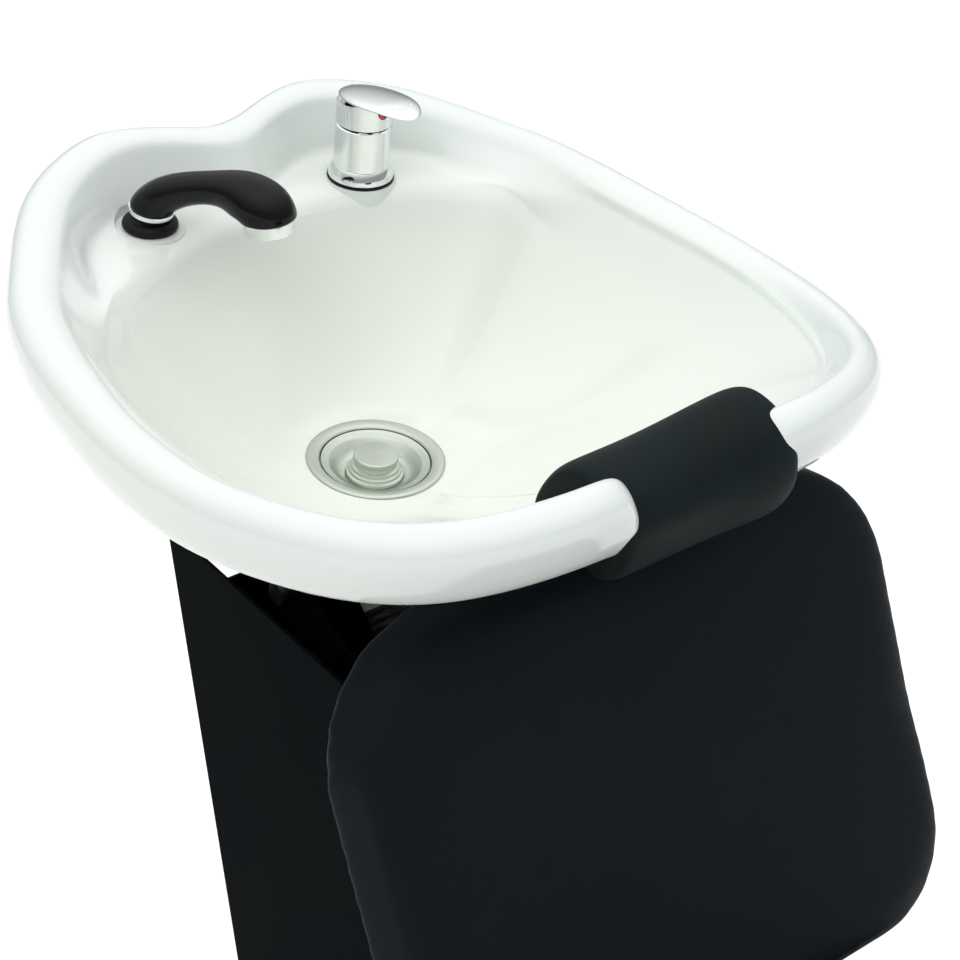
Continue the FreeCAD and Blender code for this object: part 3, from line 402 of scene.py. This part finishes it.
def heat_mark():
    """Enamel mark that is red on one half and blue on the other."""
    f = Finish("red_and_blue_mark")
    x, y, z = f.parts(f.moved(TO_BASIN))
    blue = (x - 0.096).math("GREATER_THAN", 0.0)
    speck = f.noise(400.0, 2.0)
    paint = f.mix(blue, (0.62, 0.006, 0.02), (0.008, 0.012, 0.16))
    return f.surface(base_color=paint, roughness=f.fit(speck, 0.3, 0.7, 0.12, 0.2), coat_weight=0.5,
                     normal=f.bump(speck, 0.00003, 0.3))


def floor_finish(colour):
    f = Finish("studio_floor")
    dapple = f.noise(3.0, 2.0)
    return f.surface(base_color=f.mix(dapple * 0.3, colour, [c * 0.99 for c in colour]), roughness=0.8,
                     specular_ior_level=0.1)


FINISHES = {}


def make_finishes(colours):
    """One material for each slot of the record."""
    FINISHES.update({
        "ceramic": glaze(colours.glaze),
        "black_rubber": moulded_rubber("neck_rest_rubber", colours.rubber, 2.6, 0.56),
        "seal_rubber": moulded_rubber("seal_rubber", (0.008, 0.008, 0.009), 1.6, 0.4),
        "stainless": turned_steel("brushed_stainless", colours.steel, TO_BASIN),
        "chrome": chrome(),
        "brass": plated_steel("cast_brass", (0.50, 0.36, 0.13), 0.36),
        "gloss_black": gloss_plastic("gloss_black_plastic", (0.0022, 0.0022, 0.0025)),
        "indicator": heat_mark(),
        "grey_plastic": moulded_plastic("grey_plastic", (0.30, 0.31, 0.31)),
        "white_plastic": moulded_plastic("white_plastic", (0.78, 0.78, 0.75)),
        "ribbed": ribbed_hose("ribbed_waste_hose", (0.018, 0.019, 0.019), (0.05, 0.052, 0.052)),
        "braided_hose": braid("stainless_braid", (0.18, 0.19, 0.19), (0.72, 0.73, 0.74), 0.9),
        "black_hose": braid("black_braid", (0.004, 0.004, 0.004), (0.03, 0.03, 0.032), 0.0),
        "black_steel": powder_coat(colours.powder),
        "zinc_steel": plated_steel("zinc_plate", (0.46, 0.47, 0.48), 0.32),
        "nylon": moulded_plastic("natural_nylon", (0.74, 0.73, 0.66), 0.36),
        "upholstery": vinyl(colours.vinyl),
        "plywood": plywood(),
    })


# ---- modelling -----------------------------------------------------------------------------------------
def bare():
    """Nothing selected and nothing active."""
    if bpy.context.mode != "OBJECT":
        bpy.ops.object.mode_set(mode="OBJECT")
    bpy.ops.object.select_all(action="DESELECT")


def only(piece):
    bare()
    piece.select_set(True)
    bpy.context.view_layer.objects.active = piece


def tidy(piece):
    """Doubles merged and faces turned outwards."""
    only(piece)
    bpy.ops.object.mode_set(mode="EDIT")
    bpy.ops.mesh.select_all(action="SELECT")
    bpy.ops.mesh.remove_doubles(threshold=0.00002)
    bpy.ops.mesh.normals_make_consistent(inside=False)
    bpy.ops.object.mode_set(mode="OBJECT")


def modify(piece, kind, **settings):
    """Adds a modifier and applies it."""
    only(piece)
    modifier = piece.modifiers.new(kind.title(), kind)
    for key, value in settings.items():
        setattr(modifier, key, value)
    bpy.ops.object.modifier_apply(modifier=modifier.name)


def smoothed(piece, angle=None):
    only(piece)
    if angle:
        bpy.ops.object.shade_smooth_by_angle(angle=radians(angle))
    else:
        bpy.ops.object.shade_smooth()
    return piece


def placed(piece, matrix):
    """Takes a piece drawn in millimetres to its place; its object stays at the origin."""
    piece.data.transform(matrix @ Matrix.Scale(MM, 4))
    return piece


def drawn(name, rings):
    """A skin drawn out from ring to ring and closed at both ends."""
    bare()
    bpy.ops.mesh.primitive_circle_add(vertices=len(rings[0]), radius=1.0, fill_type="NGON")
    piece = bpy.context.object
    piece.name = name
    for vertex, point in zip(piece.data.vertices, rings[0]):
        vertex.co = point
    bpy.ops.object.mode_set(mode="EDIT")
    bpy.ops.mesh.select_all(action="SELECT")
    for before, after in zip(rings, rings[1:]):
        bpy.ops.mesh.extrude_region()
        mesh = bmesh.from_edit_mesh(piece.data)
        for vertex in mesh.verts:
            if vertex.select:
                nearest = min(range(len(before)), key=lambda i: (before[i] - vertex.co).length_squared)
                vertex.co = after[nearest]
        bmesh.update_edit_mesh(piece.data)
    tidy(piece)
    return piece


def spun(name, profile, matrix, steps=96, edge=0.4):
    """A turned piece with its edges rounded off; the profile is closed, as radius and height."""
    bare()
    count = len(profile)
    mesh = bpy.data.meshes.new(name)
    edges = [(i, (i + 1) % count) for i in range(count) if profile[i][0] or profile[(i + 1) % count][0]]
    mesh.from_pydata([(radius, 0.0, height) for radius, height in profile], edges, [])
    piece = bpy.data.objects.new(name, mesh)
    bpy.context.collection.objects.link(piece)
    only(piece)
    bpy.ops.object.mode_set(mode="EDIT")
    bpy.ops.mesh.select_all(action="SELECT")
    bpy.ops.mesh.spin(steps=steps, angle=2 * pi, center=(0, 0, 0), axis=(0, 0, 1))
    tidy(piece)
    modify(piece, "BEVEL", width=edge, segments=3, limit_method="ANGLE", angle_limit=radians(24))
    return placed(smoothed(piece, 40), matrix)


def put_on(piece, material_slot, body, *nodes):
    """Gives a finished piece its material, its body and the nodes that it stands for."""
    piece.data.materials.clear()
    piece.data.materials.append(FINISHES[material_slot])
    if body:
        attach(piece, body)
    if nodes:
        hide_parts(*nodes)
    return piece


def turned_about(centre):
    """Place of a turned piece whose axis stands on a point of the basin's own frame."""
    return TO_BASIN @ Matrix.Scale(MM, 4) @ centre @ Matrix.Scale(1 / MM, 4)


# ---- operators -----------------------------------------------------------------------------------------
class BACKWASH_OT_finishes(bpy.types.Operator):
    """Make the materials and put them on the frame's own pieces"""
    bl_idname = "backwash.finishes"
    bl_label = "Finishes"

    def execute(self, context):
        make_finishes(context.scene.backwash_finishes)
        slots = {part["node"]: part["material_slot"] for part in frame["record"]["subparts"]}
        for name, node in frame["nodes"].items():
            node.data.materials.clear()
            node.data.materials.append(FINISHES[slots[name]])
        return {"FINISHED"}


def basin_point(x, y, z):
    """Place in metres of a point of the basin's own frame."""
    return TO_BASIN @ (Vector((x, y, z)) * MM)


def hose_line(name, points):
    """Smooth line that the route's points steer."""
    curve = bpy.data.curves.new(name + "_line", "CURVE")
    curve.dimensions = "3D"
    spline = curve.splines.new("NURBS")
    spline.points.add(len(points) - 1)
    for knot, point in zip(spline.points, points):
        knot.co = (*point, 1.0)
    spline.order_u = 3
    spline.use_endpoint_u = True
    spline.resolution_u = 12
    holder = bpy.data.objects.new(name + "_line", curve)
    bpy.context.collection.objects.link(holder)
    bpy.context.view_layer.update()
    line = bpy.data.meshes.new_from_object(holder)
    path = [vertex.co.copy() for vertex in line.vertices]
    bpy.data.objects.remove(holder)
    return path


def hose(name, points, radius, pitch):
    """Hose with closed ends round a smooth line; its map runs round it and along it in steps of the pitch."""
    path = hose_line(name, points)
    sides = 20
    vertices, faces, along = [], [], [0.0]
    across = None
    for i, here in enumerate(path):
        way = (path[min(i + 1, len(path) - 1)] - path[max(i - 1, 0)]).normalized()
        across = (across or way.orthogonal())
        across = (across - way * across.dot(way)).normalized()
        other = way.cross(across)
        vertices += [here + (across * cos(turn) + other * sin(turn)) * radius
                     for turn in (2 * pi * k / sides for k in range(sides))]
        if i:
            along.append(along[-1] + (here - path[i - 1]).length)
    for i in range(len(path) - 1):
        low, high = i * sides, (i + 1) * sides
        faces += [(low + k, low + (k + 1) % sides, high + (k + 1) % sides, high + k) for k in range(sides)]
    faces += [tuple(reversed(range(sides))), tuple(range(len(vertices) - sides, len(vertices)))]
    mesh = bpy.data.meshes.new(name)
    mesh.from_pydata(vertices, [], faces)
    wrap = mesh.uv_layers.new(name="wrap")
    for face in mesh.polygons:
        last = face.vertices[0] % sides == sides - 1 or face.vertices[1] % sides == 0
        for corner, vertex in zip(face.loop_indices, face.vertices):
            turn = vertex % sides
            around = sides if last and turn == 0 else turn
            wrap.data[corner].uv = (around / sides, along[vertex // sides] / pitch)
    piece = bpy.data.objects.new(name, mesh)
    bpy.context.collection.objects.link(piece)
    return smoothed(piece, 50), path, along[-1]


class BACKWASH_OT_hoses(bpy.types.Operator):
    """Lay the hand shower's loop, the two supply hoses and the waste hose"""
    bl_idname = "backwash.hoses"
    bl_label = "Hoses"

    def execute(self, context):
        tap_x, tap_y, _ = TAP
        low = DECK_Z + STRETCH_TOP - STRETCH_LEN
        shank = DECK_Z - SHANK_LEN
        tail = tap_y + SHANK_TO_TAIL
        x, y, _ = SPRAY
        loop = [basin_point(*at) for at in (
            (tap_x, tail, shank), (tap_x, tail, DECK_Z - 116), (tap_x + 4, tail, -44),
            (tap_x - 4, tail + 1, -118), (46, tail + 2, -170), (-44, y - 1, -170), (x, y, low - 62),
            (x, y, low - 0.4))]
        piece, path, length = hose("spray_hose", loop, HOSE_R * MM, BRAID_PITCH)
        put_on(piece, "black_hose", None, "spray_hose_loop")
        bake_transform(piece)
        for name, bottom_x, side in (("hot", VALVE_X[0], -8), ("cold", VALVE_X[1], 8)):
            top = tap_x + side

            def across(share):
                return top + (bottom_x - top) * share

            run = [basin_point(top, tap_y - 4, shank), basin_point(top, tap_y - 4, shank - 46)]
            run += [Vector(at) * MM for at in (
                (top - 6, 474, 778), (across(0.3), 405, 728), (across(0.5), 335, 640),
                (across(0.65), 262, 530), (across(0.8), 180, 430), (bottom_x, VALVE_Y, VALVE_TOP_Z + 59.8),
                (bottom_x, VALVE_Y, VALVE_TOP_Z))]
            piece, path, length = hose("supply_hose_" + name, run, HOSE_R * MM, BRAID_PITCH)
            put_on(piece, "braided_hose", None, "supply_hoses")
            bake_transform(piece)
        run = [basin_point(0, -26.2, -124.2), basin_point(0, -66, -164)]
        run += [Vector(at) * MM for at in ((0, 243, 545), (0, 196, 460), (0, 165, 380), (0, 165, 310.2))]
        piece, path, length = hose("waste_hose_ribbed", run, WASTE_R * MM, RIB_PITCH)
        put_on(piece, "grey_plastic", None, "waste_hose")
        piece.data.materials[0] = FINISHES["ribbed"]
        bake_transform(piece)
        return {"FINISHED"}


class BACKWASH_OT_neck_rest(bpy.types.Operator):
    """Mould the rubber neck rest that fills the bowl's notch"""
    bl_idname = "backwash.neck_rest"
    bl_label = "Neck rest"

    def execute(self, context):
        top = context.scene.backwash_shapes.rest_rise
        near, far = -74.0, 85.0

        def ease(low, high, value):
            share = min(1.0, max(0.0, (value - low) / (high - low)))
            return share * share * (3 - 2 * share)

        def section(share, size):
            x = near + (far - near) * share
            rise = top * ease(0.3, 1.0, share)
            out = -7 * ease(0.55, 0.9, share)
            outline = [(-243, 136), (-254, 162), (-267, 180 + 0.7 * rise), (-286, 188 + rise),
                       (-306, 187 + rise), (-322 + out, 180 + rise), (-333 + out, 168 + 0.6 * rise),
                       (-338 + out, 155), (-334 + out, 138), (-328 + 0.5 * out, 120), (-316, 111),
                       (-300, 118), (-276, 122), (-250, 120)]
            centre = Vector((x, -290, 153))
            return [centre + (Vector((x, y, z)) - centre) * size for y, z in outline]

        rings = [section(0.0, 0.78), section(0.01, 0.9), section(0.05, 0.985)]
        rings += [section(share, 1.0) for share in (0.12, 0.25, 0.4, 0.55, 0.7, 0.84)]
        rings += [section(0.94, 0.985), section(0.985, 0.92), section(1.0, 0.80)]
        piece = drawn("neck_rest_pad", rings)
        modify(piece, "SUBSURF", levels=3, render_levels=3)
        placed(smoothed(piece), TO_BASIN)
        put_on(piece, "black_rubber", "basin_assembly", "neck_rest")
        return {"FINISHED"}


class BACKWASH_OT_drain(bpy.types.Operator):
    """Turn the drain's flange, strainer dish and knob"""
    bl_idname = "backwash.drain"
    bl_label = "Drain"

    def execute(self, context):
        flange = [(43.5, -3.5), (43.5, -0.5), (44.6, 0.7), (46, 1.3), (51, 2.4), (53, 2.0), (54, 1.0),
                  (54, 0), (46.5, 0), (46.5, -3.5)]
        dish = [(22.8, -12.6), (25, -12.5), (28, -11.6), (31.5, -8.6), (34.4, -4.6), (36.4, -2.8), (39, -2.1),
                (41, -1.4), (42.5, -0.6), (42.5, -2), (40.5, -3), (38, -3.7), (35, -5.8), (31.5, -10.2),
                (27, -13.7), (22.8, -14)]
        knob = [(0, -31.5), (3, -31.5), (3, -14), (22.6, -14), (22.6, -9.8), (20.4, -9.4), (20.4, -7),
                (18.8, -6.6), (18.8, -3.6), (16.6, -3), (16.6, 0.6), (17.7, 1.4), (17.7, 4.6), (16.8, 5.3),
                (0, 5)]
        for name, profile, body, node in (("flange_ring", flange, "basin_assembly", "drain_flange"),
                                          ("strainer_dish", dish, "strainer", "strainer_plate"),
                                          ("strainer_lift_knob", knob, "strainer", "strainer_knob")):
            put_on(spun(name, profile, TO_BASIN, edge=0.35), "stainless", body, node)
        return {"FINISHED"}


class BACKWASH_OT_tap(bpy.types.Operator):
    """Shape the mixer tap's oval lever and its base ring"""
    bl_idname = "backwash.tap"
    bl_label = "Tap"

    def execute(self, context):
        shape = context.scene.backwash_shapes
        column = Matrix.Translation((TAP.x, TAP.y, DECK_Z))
        base = [(19, 2), (26.2, 2), (26.5, 3), (26.5, 5), (25.8, 7.6), (24.4, 10.6), (23.2, 13), (19, 13)]
        foot = spun("tap_foot_ring", base, turned_about(column))
        put_on(foot, "chrome", "basin_assembly", "tap_base_ring")
        bare()
        bpy.ops.mesh.primitive_cube_add(size=2.0)
        lever = context.object
        lever.name = "tap_paddle"
        bpy.ops.object.mode_set(mode="EDIT")
        bpy.ops.mesh.select_all(action="SELECT")
        bpy.ops.mesh.subdivide(number_cuts=9)
        bpy.ops.transform.tosphere(value=1.0)
        mesh = bmesh.from_edit_mesh(lever.data)
        ball = max(vertex.co.length for vertex in mesh.verts)
        size = (shape.lever_wide / 2, shape.lever_long / 2, LEVER_THICK)
        bpy.ops.transform.resize(value=[half / ball for half in size])
        mesh = bmesh.from_edit_mesh(lever.data)
        lip = shape.lever_long / 2 - LIP_LEN
        for vertex in mesh.verts:
            if vertex.co.z < 0:
                vertex.co.z *= 0.4
            vertex.co.z += LEVER_LIFT - LIP_DROP * max(0.0, -vertex.co.y - lip) ** 2
        bmesh.update_edit_mesh(lever.data)
        bpy.ops.object.mode_set(mode="OBJECT")
        modify(lever, "SUBSURF", levels=2, render_levels=2)
        for across, ahead in ((-9, -28), (-4.6, -31.4), (0, -32.4), (4.6, -31.4), (9, -28)):
            self.dimple(lever, across, ahead)
        neck = drawn("neck", [[Vector((NECK_R * cos(turn), LEVER_AHEAD + NECK_R * sin(turn), z))
                               for turn in (2 * pi * k / 48 for k in range(48))] for z in (0.0, 1.0, 3.6)])
        tilt = Matrix.Translation((TAP.x, TAP.y, DECK_Z + LEVER_MIDDLE_Z)) @ Matrix.Rotation(
            -LEVER_SLOPE, 4, "X") @ Matrix.Translation((0, -LEVER_AHEAD, 0))
        for part in (lever, neck):
            part.data.transform(tilt)
        pin_y, pin_z = TAP.y + PIN_BEHIND, DECK_Z + PIN_Z
        pin = drawn("pin", [[Vector((TAP.x + side, pin_y + PIN_R * cos(turn), pin_z + PIN_R * sin(turn)))
                             for turn in (2 * pi * k / 32 for k in range(32))] for side in
                            (-PIN_HALF, 0.4 - PIN_HALF, PIN_HALF - 0.4, PIN_HALF)])
        lug = drawn("lug", [[Vector((x, pin_y + a, pin_z + b)) for a, b in
                             ((-2.9, -1.4), (-1.6, -2.6), (1.6, -2.6), (2.9, -1.4), (2.9, 9.6), (-2.9, 10.8))]
                            for x in (TAP.x - 4, TAP.x - 3.6, TAP.x + 3.6, TAP.x + 4)])
        bare()
        for part in (neck, pin, lug, lever):
            part.select_set(True)
        context.view_layer.objects.active = lever
        bpy.ops.object.join()
        placed(smoothed(lever, 40), TO_BASIN)
        put_on(lever, "chrome", "tap_lever", "tap_lever")
        return {"FINISHED"}

    def dimple(self, lever, across, ahead):
        """Presses a small round hollow into the lever's top near its tip."""
        hit, place, normal, _ = lever.ray_cast(Vector((across, ahead, 50.0)), Vector((0, 0, -1)))
        if not hit:
            raise RuntimeError("a dimple misses the lever")
        bare()
        bpy.ops.mesh.primitive_ico_sphere_add(subdivisions=3, radius=1.3, location=place + normal * 0.6)
        ball = bpy.context.object
        modify(lever, "BOOLEAN", operation="DIFFERENCE", object=ball, solver="EXACT")
        bpy.data.objects.remove(ball)


class BACKWASH_OT_hand_shower(bpy.types.Operator):
    """Model the hand shower, its collar, its nozzle and the grommet that it stands in"""
    bl_idname = "backwash.hand_shower"
    bl_label = "Hand shower"

    def execute(self, context):
        side = Vector((-SPRAY_WAY.y, SPRAY_WAY.x, 0.0))

        def section(reach, rise, radius, lean, wide=1.0, sides=24):
            """Ring across the grip; its axis leans towards the head."""
            centre = SPRAY + SPRAY_WAY * reach + Vector((0, 0, rise))
            out = SPRAY_WAY * cos(radians(lean)) - Vector((0, 0, sin(radians(lean))))
            return [centre + (out * cos(turn) + side * (wide * sin(turn))) * radius
                    for turn in (2 * pi * k / sides for k in range(sides))]

        spine = [(1.2, 17.6, 16.6, 8), (1.3, 18.3, 17.2, 9), (2.6, 21, 16.7, 18), (7.4, 27, 15.5, 36),
                 (18.5, 35.4, 14.0, 56), (35, 42.6, 12.7, 72), (53, 47.6, 13.0, 86), (66, 49.6, 16.0, 98),
                 (77, 49, 19.8, 117), (88, 45.6, 22.6, 142), (94.4, 39.8, 22.8, 161), (96.9, 34.6, 22.2, 172),
                 (97, 34.0, 21.4, 172)]
        shell = drawn("shower_shell", [section(*at) for at in spine])
        modify(shell, "SUBSURF", levels=2, render_levels=2)
        put_on(placed(smoothed(shell), TO_BASIN), "gloss_black", "hand_shower", "spray_shell")
        collar = drawn("shower_collar", [section(*at, sides=64) for at in (
            (0.4, 10.4, 15.0, 8), (0.43, 10.7, 15.9, 8), (0.8, 14.2, 17.4, 8), (1.1, 17.0, 17.6, 8),
            (1.18, 17.5, 17.4, 8), (1.2, 17.7, 16.4, 8))])
        put_on(placed(smoothed(collar, 50), TO_BASIN), "chrome", "hand_shower", "spray_collar")
        lean = radians(172)
        mouth = SPRAY + SPRAY_WAY * 97 + Vector((0, 0, 34))
        down = (SPRAY_WAY * sin(lean) + Vector((0, 0, cos(lean)))).normalized()
        turned = Matrix.Translation(mouth) @ down.to_track_quat("Z", "Y").to_matrix().to_4x4()
        head = turned_about(turned)
        ring = [(16.6, 0), (19.0, 0), (19.4, 0.6), (19.4, 9.6), (18.8, 10.5), (17.6, 10.5), (17.1, 9.6),
                (17.1, 7.5), (16.6, 7.5)]
        put_on(spun("nozzle_ring", ring, head, edge=0.3), "chrome", "hand_shower", "spray_nozzle_ring")
        plate = [(0, 7.5), (17.0, 7.5), (17.0, 9.2), (16.2, 9.6), (0, 10.0)]
        face = spun("spray_plate", plate, Matrix.Scale(1 / MM, 4))
        nubs = []
        for ring_radius, count in ((0.0, 1), (4.6, 6), (9.2, 12), (13.4, 18)):
            for k in range(count):
                turn = 2 * pi * k / count
                bare()
                place = (ring_radius * cos(turn), ring_radius * sin(turn), 10.2)
                bpy.ops.mesh.primitive_cone_add(vertices=10, radius1=0.9, radius2=0.45, depth=1.2,
                                                location=place)
                nubs.append(context.object)
        bare()
        for part in (*nubs, face):
            part.select_set(True)
        context.view_layer.objects.active = face
        bpy.ops.object.join()
        put_on(placed(smoothed(face, 40), head), "grey_plastic", "hand_shower", "spray_face")
        grommet = [(8.6, -14), (14.6, -14), (14.6, 0), (18.8, 0), (20.6, 0.6), (21.5, 2.2), (21.5, 4.2),
                   (20.4, 6.2), (18.4, 7.4), (16.4, 7.7), (13, 7.6), (10.4, 7.2), (9.0, 6), (8.6, 4)]
        seal = spun("shower_grommet", grommet, turned_about(Matrix.Translation(SPRAY)), edge=0.5)
        put_on(seal, "seal_rubber", "basin_assembly", "spray_grommet")
        return {"FINISHED"}


def places(piece):
    """The points of a piece, one to a row."""
    flat = np.empty(3 * len(piece.data.vertices))
    piece.data.vertices.foreach_get("co", flat)
    return flat.reshape(-1, 3)


def evened(piece, push, rounds):
    """Takes the puckers out of a cover: every point shares its push with its neighbours."""
    ends = np.empty(2 * len(piece.data.edges), dtype=np.int32)
    piece.data.edges.foreach_get("vertices", ends)
    one, two = ends.reshape(-1, 2).T
    touching = np.maximum(np.bincount(ends, minlength=len(push)), 1)[:, None]
    for _ in range(rounds):
        total = np.zeros_like(push)
        np.add.at(total, one, push[two])
        np.add.at(total, two, push[one])
        push = (push + total / touching) / 2
    return push


def stuffed(name, pad, board, rest_on, away):
    """A pad and its board under one cover that the stuffing blows up, flat at the back of the board."""
    shape = bpy.context.scene.backwash_shapes
    whole = bmesh.new()
    for node in (pad, board):
        whole.from_mesh(frame["nodes"][node].data)
    mesh = bpy.data.meshes.new(name)
    whole.to_mesh(mesh)
    whole.free()
    piece = bpy.data.objects.new(name, mesh)
    bpy.context.collection.objects.link(piece)
    tidy(piece)
    modify(piece, "REMESH", mode="VOXEL", voxel_size=shape.voxel * MM)
    modify(piece, "DISPLACE", mid_level=0.0, strength=-0.5 * shape.crown * MM)
    start = places(piece)
    only(piece)
    cloth = piece.modifiers.new("Cover", "CLOTH")
    cloth.settings.quality = 5
    cloth.settings.mass = 0.4
    cloth.settings.tension_stiffness = 12
    cloth.settings.compression_stiffness = 12
    cloth.settings.shear_stiffness = 6
    cloth.settings.bending_stiffness = 2.0
    cloth.settings.use_pressure = True
    cloth.settings.uniform_pressure_force = 4.0
    cloth.settings.effector_weights.gravity = 0.0
    for number in range(1, 21):
        bpy.context.scene.frame_set(number)
    bpy.ops.object.modifier_apply(modifier=cloth.name)
    bpy.context.scene.frame_set(1)
    push = evened(piece, places(piece) - start, EVEN_ROUNDS)
    depth = (start - np.array(rest_on)) @ np.array(away)
    most = shape.crown * 1.5 * MM * np.clip(depth / (FIRM_DEPTH * MM), 0.0, 1.0)
    push *= np.minimum(1.0, most / np.maximum(np.linalg.norm(push, axis=1), 1e-9))[:, None]
    piece.data.vertices.foreach_set("co", (start + push).ravel())
    modify(piece, "SMOOTH", factor=0.5, iterations=4)
    modify(piece, "SUBSURF", levels=1, render_levels=1)
    smoothed(piece)
    return put_on(piece, "upholstery", "stand", pad, board)


class BACKWASH_OT_cushions(bpy.types.Operator):
    """Stuff and cover the back and the seat"""
    bl_idname = "backwash.cushions"
    bl_label = "Cushions"

    def execute(self, context):
        forward = Vector((0, -cos(BACK_RECLINE), sin(BACK_RECLINE)))
        behind = (Vector(BACK_FRONT_MIDDLE) - forward * BACK_THICK) * MM
        under = Vector((0, 0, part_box("seat_cushion")[0][2]))
        stuffed("back_pad", "back_cushion", "back_board", behind, forward)
        stuffed("seat_pad", "seat_cushion", "seat_board", under, Vector((0, 0, 1)))
        return {"FINISHED"}


class BACKWASH_OT_stage(bpy.types.Operator):
    """Set the camera, the lights and a plain pale floor"""
    bl_idname = "backwash.stage"
    bl_label = "Stage"

    def execute(self, context):
        stage = context.scene.backwash_stage
        context.scene.view_settings.view_transform = "Standard"
        bare()
        back = Vector((sin(stage.azimuth) * cos(stage.elevation), -cos(stage.azimuth) * cos(stage.elevation),
                       sin(stage.elevation)))
        bpy.ops.object.camera_add(location=DRAIN + Vector(stage.station))
        camera = context.object
        camera.name = "camera"
        camera.rotation_mode = "QUATERNION"
        camera.rotation_quaternion = (-back).to_track_quat("-Z", "Y") @ Matrix.Rotation(
            stage.roll, 3, "Z").to_quaternion()
        camera.data.lens = stage.lens
        camera.data.clip_end = 100.0
        context.scene.camera = camera
        bare()
        bpy.ops.mesh.primitive_circle_add(vertices=96, radius=9.0, fill_type="NGON")
        floor = context.object
        floor.name = "floor"
        floor.data.materials.append(floor_finish(stage.floor_colour))
        context.scene.world = self.studio(stage)
        for name, place, size, power in (("key", (-1.4, -0.6, 3.0), 1.6, stage.key),
                                         ("fill", (2.2, -1.8, 1.9), 1.4, stage.key * 0.35),
                                         ("back", (0.6, 2.6, 2.4), 1.6, stage.key * 0.5)):
            bpy.ops.object.light_add(type="AREA", location=place)
            light = context.object
            light.name = name
            light.data.size = size
            light.data.energy = power
            light.visible_glossy = False
            light.rotation_mode = "QUATERNION"
            light.rotation_quaternion = (DRAIN - Vector(place)).to_track_quat("-Z", "Y")
        return {"FINISHED"}

    def studio(self, stage):
        """Even light that is strong overhead and dim near the horizon."""
        world = bpy.data.worlds.new("studio")
        world.use_nodes = True
        nodes, links = world.node_tree.nodes, world.node_tree.links
        way = nodes.new("ShaderNodeTexCoord")
        split = nodes.new("ShaderNodeSeparateXYZ")
        ramp = nodes.new("ShaderNodeValToRGB")
        links.new(way.outputs["Generated"], split.inputs[0])
        links.new(split.outputs["Z"], ramp.inputs[0])
        ramp.color_ramp.elements[0].position = 0.18
        ramp.color_ramp.elements[0].color = (0.20, 0.215, 0.21, 1.0)
        ramp.color_ramp.elements[1].position = 0.88
        ramp.color_ramp.elements[1].color = (1.0, 1.0, 1.0, 1.0)
        links.new(ramp.outputs["Color"], nodes["Background"].inputs["Color"])
        nodes["Background"].inputs["Strength"].default_value = stage.sky
        return world


class BACKWASH_PT_panel(bpy.types.Panel):
    """Buttons and settings of the backwash unit"""
    bl_label = "Backwash unit"
    bl_idname = "BACKWASH_PT_panel"
    bl_space_type = "VIEW_3D"
    bl_region_type = "UI"
    bl_category = "Backwash"

    def draw(self, context):
        for operator in OPERATORS:
            self.layout.operator(operator.bl_idname)
        for name in SETTINGS:
            for key in getattr(context.scene, name).bl_rna.properties.keys():
                if key not in ("rna_type", "name"):
                    self.layout.prop(getattr(context.scene, name), key)


SETTINGS = {"backwash_stage": StageSettings, "backwash_finishes": FinishSettings,
            "backwash_shapes": ShapeSettings}
OPERATORS = [BACKWASH_OT_stage, BACKWASH_OT_finishes, BACKWASH_OT_hoses, BACKWASH_OT_neck_rest,
             BACKWASH_OT_drain, BACKWASH_OT_tap, BACKWASH_OT_hand_shower, BACKWASH_OT_cushions]


def register():
    for kind in (*SETTINGS.values(), *OPERATORS, BACKWASH_PT_panel):
        bpy.utils.register_class(kind)
    for name, kind in SETTINGS.items():
        setattr(bpy.types.Scene, name, bpy.props.PointerProperty(type=kind))


def unregister():
    for name in SETTINGS:
        delattr(bpy.types.Scene, name)
    for kind in (BACKWASH_PT_panel, *reversed(OPERATORS), *reversed(SETTINGS.values())):
        bpy.utils.unregister_class(kind)


def main():
    register()
    for operator in OPERATORS:
        group, name = operator.bl_idname.split(".")
        getattr(getattr(bpy.ops, group), name)()


if __name__ == "__main__":
    main()
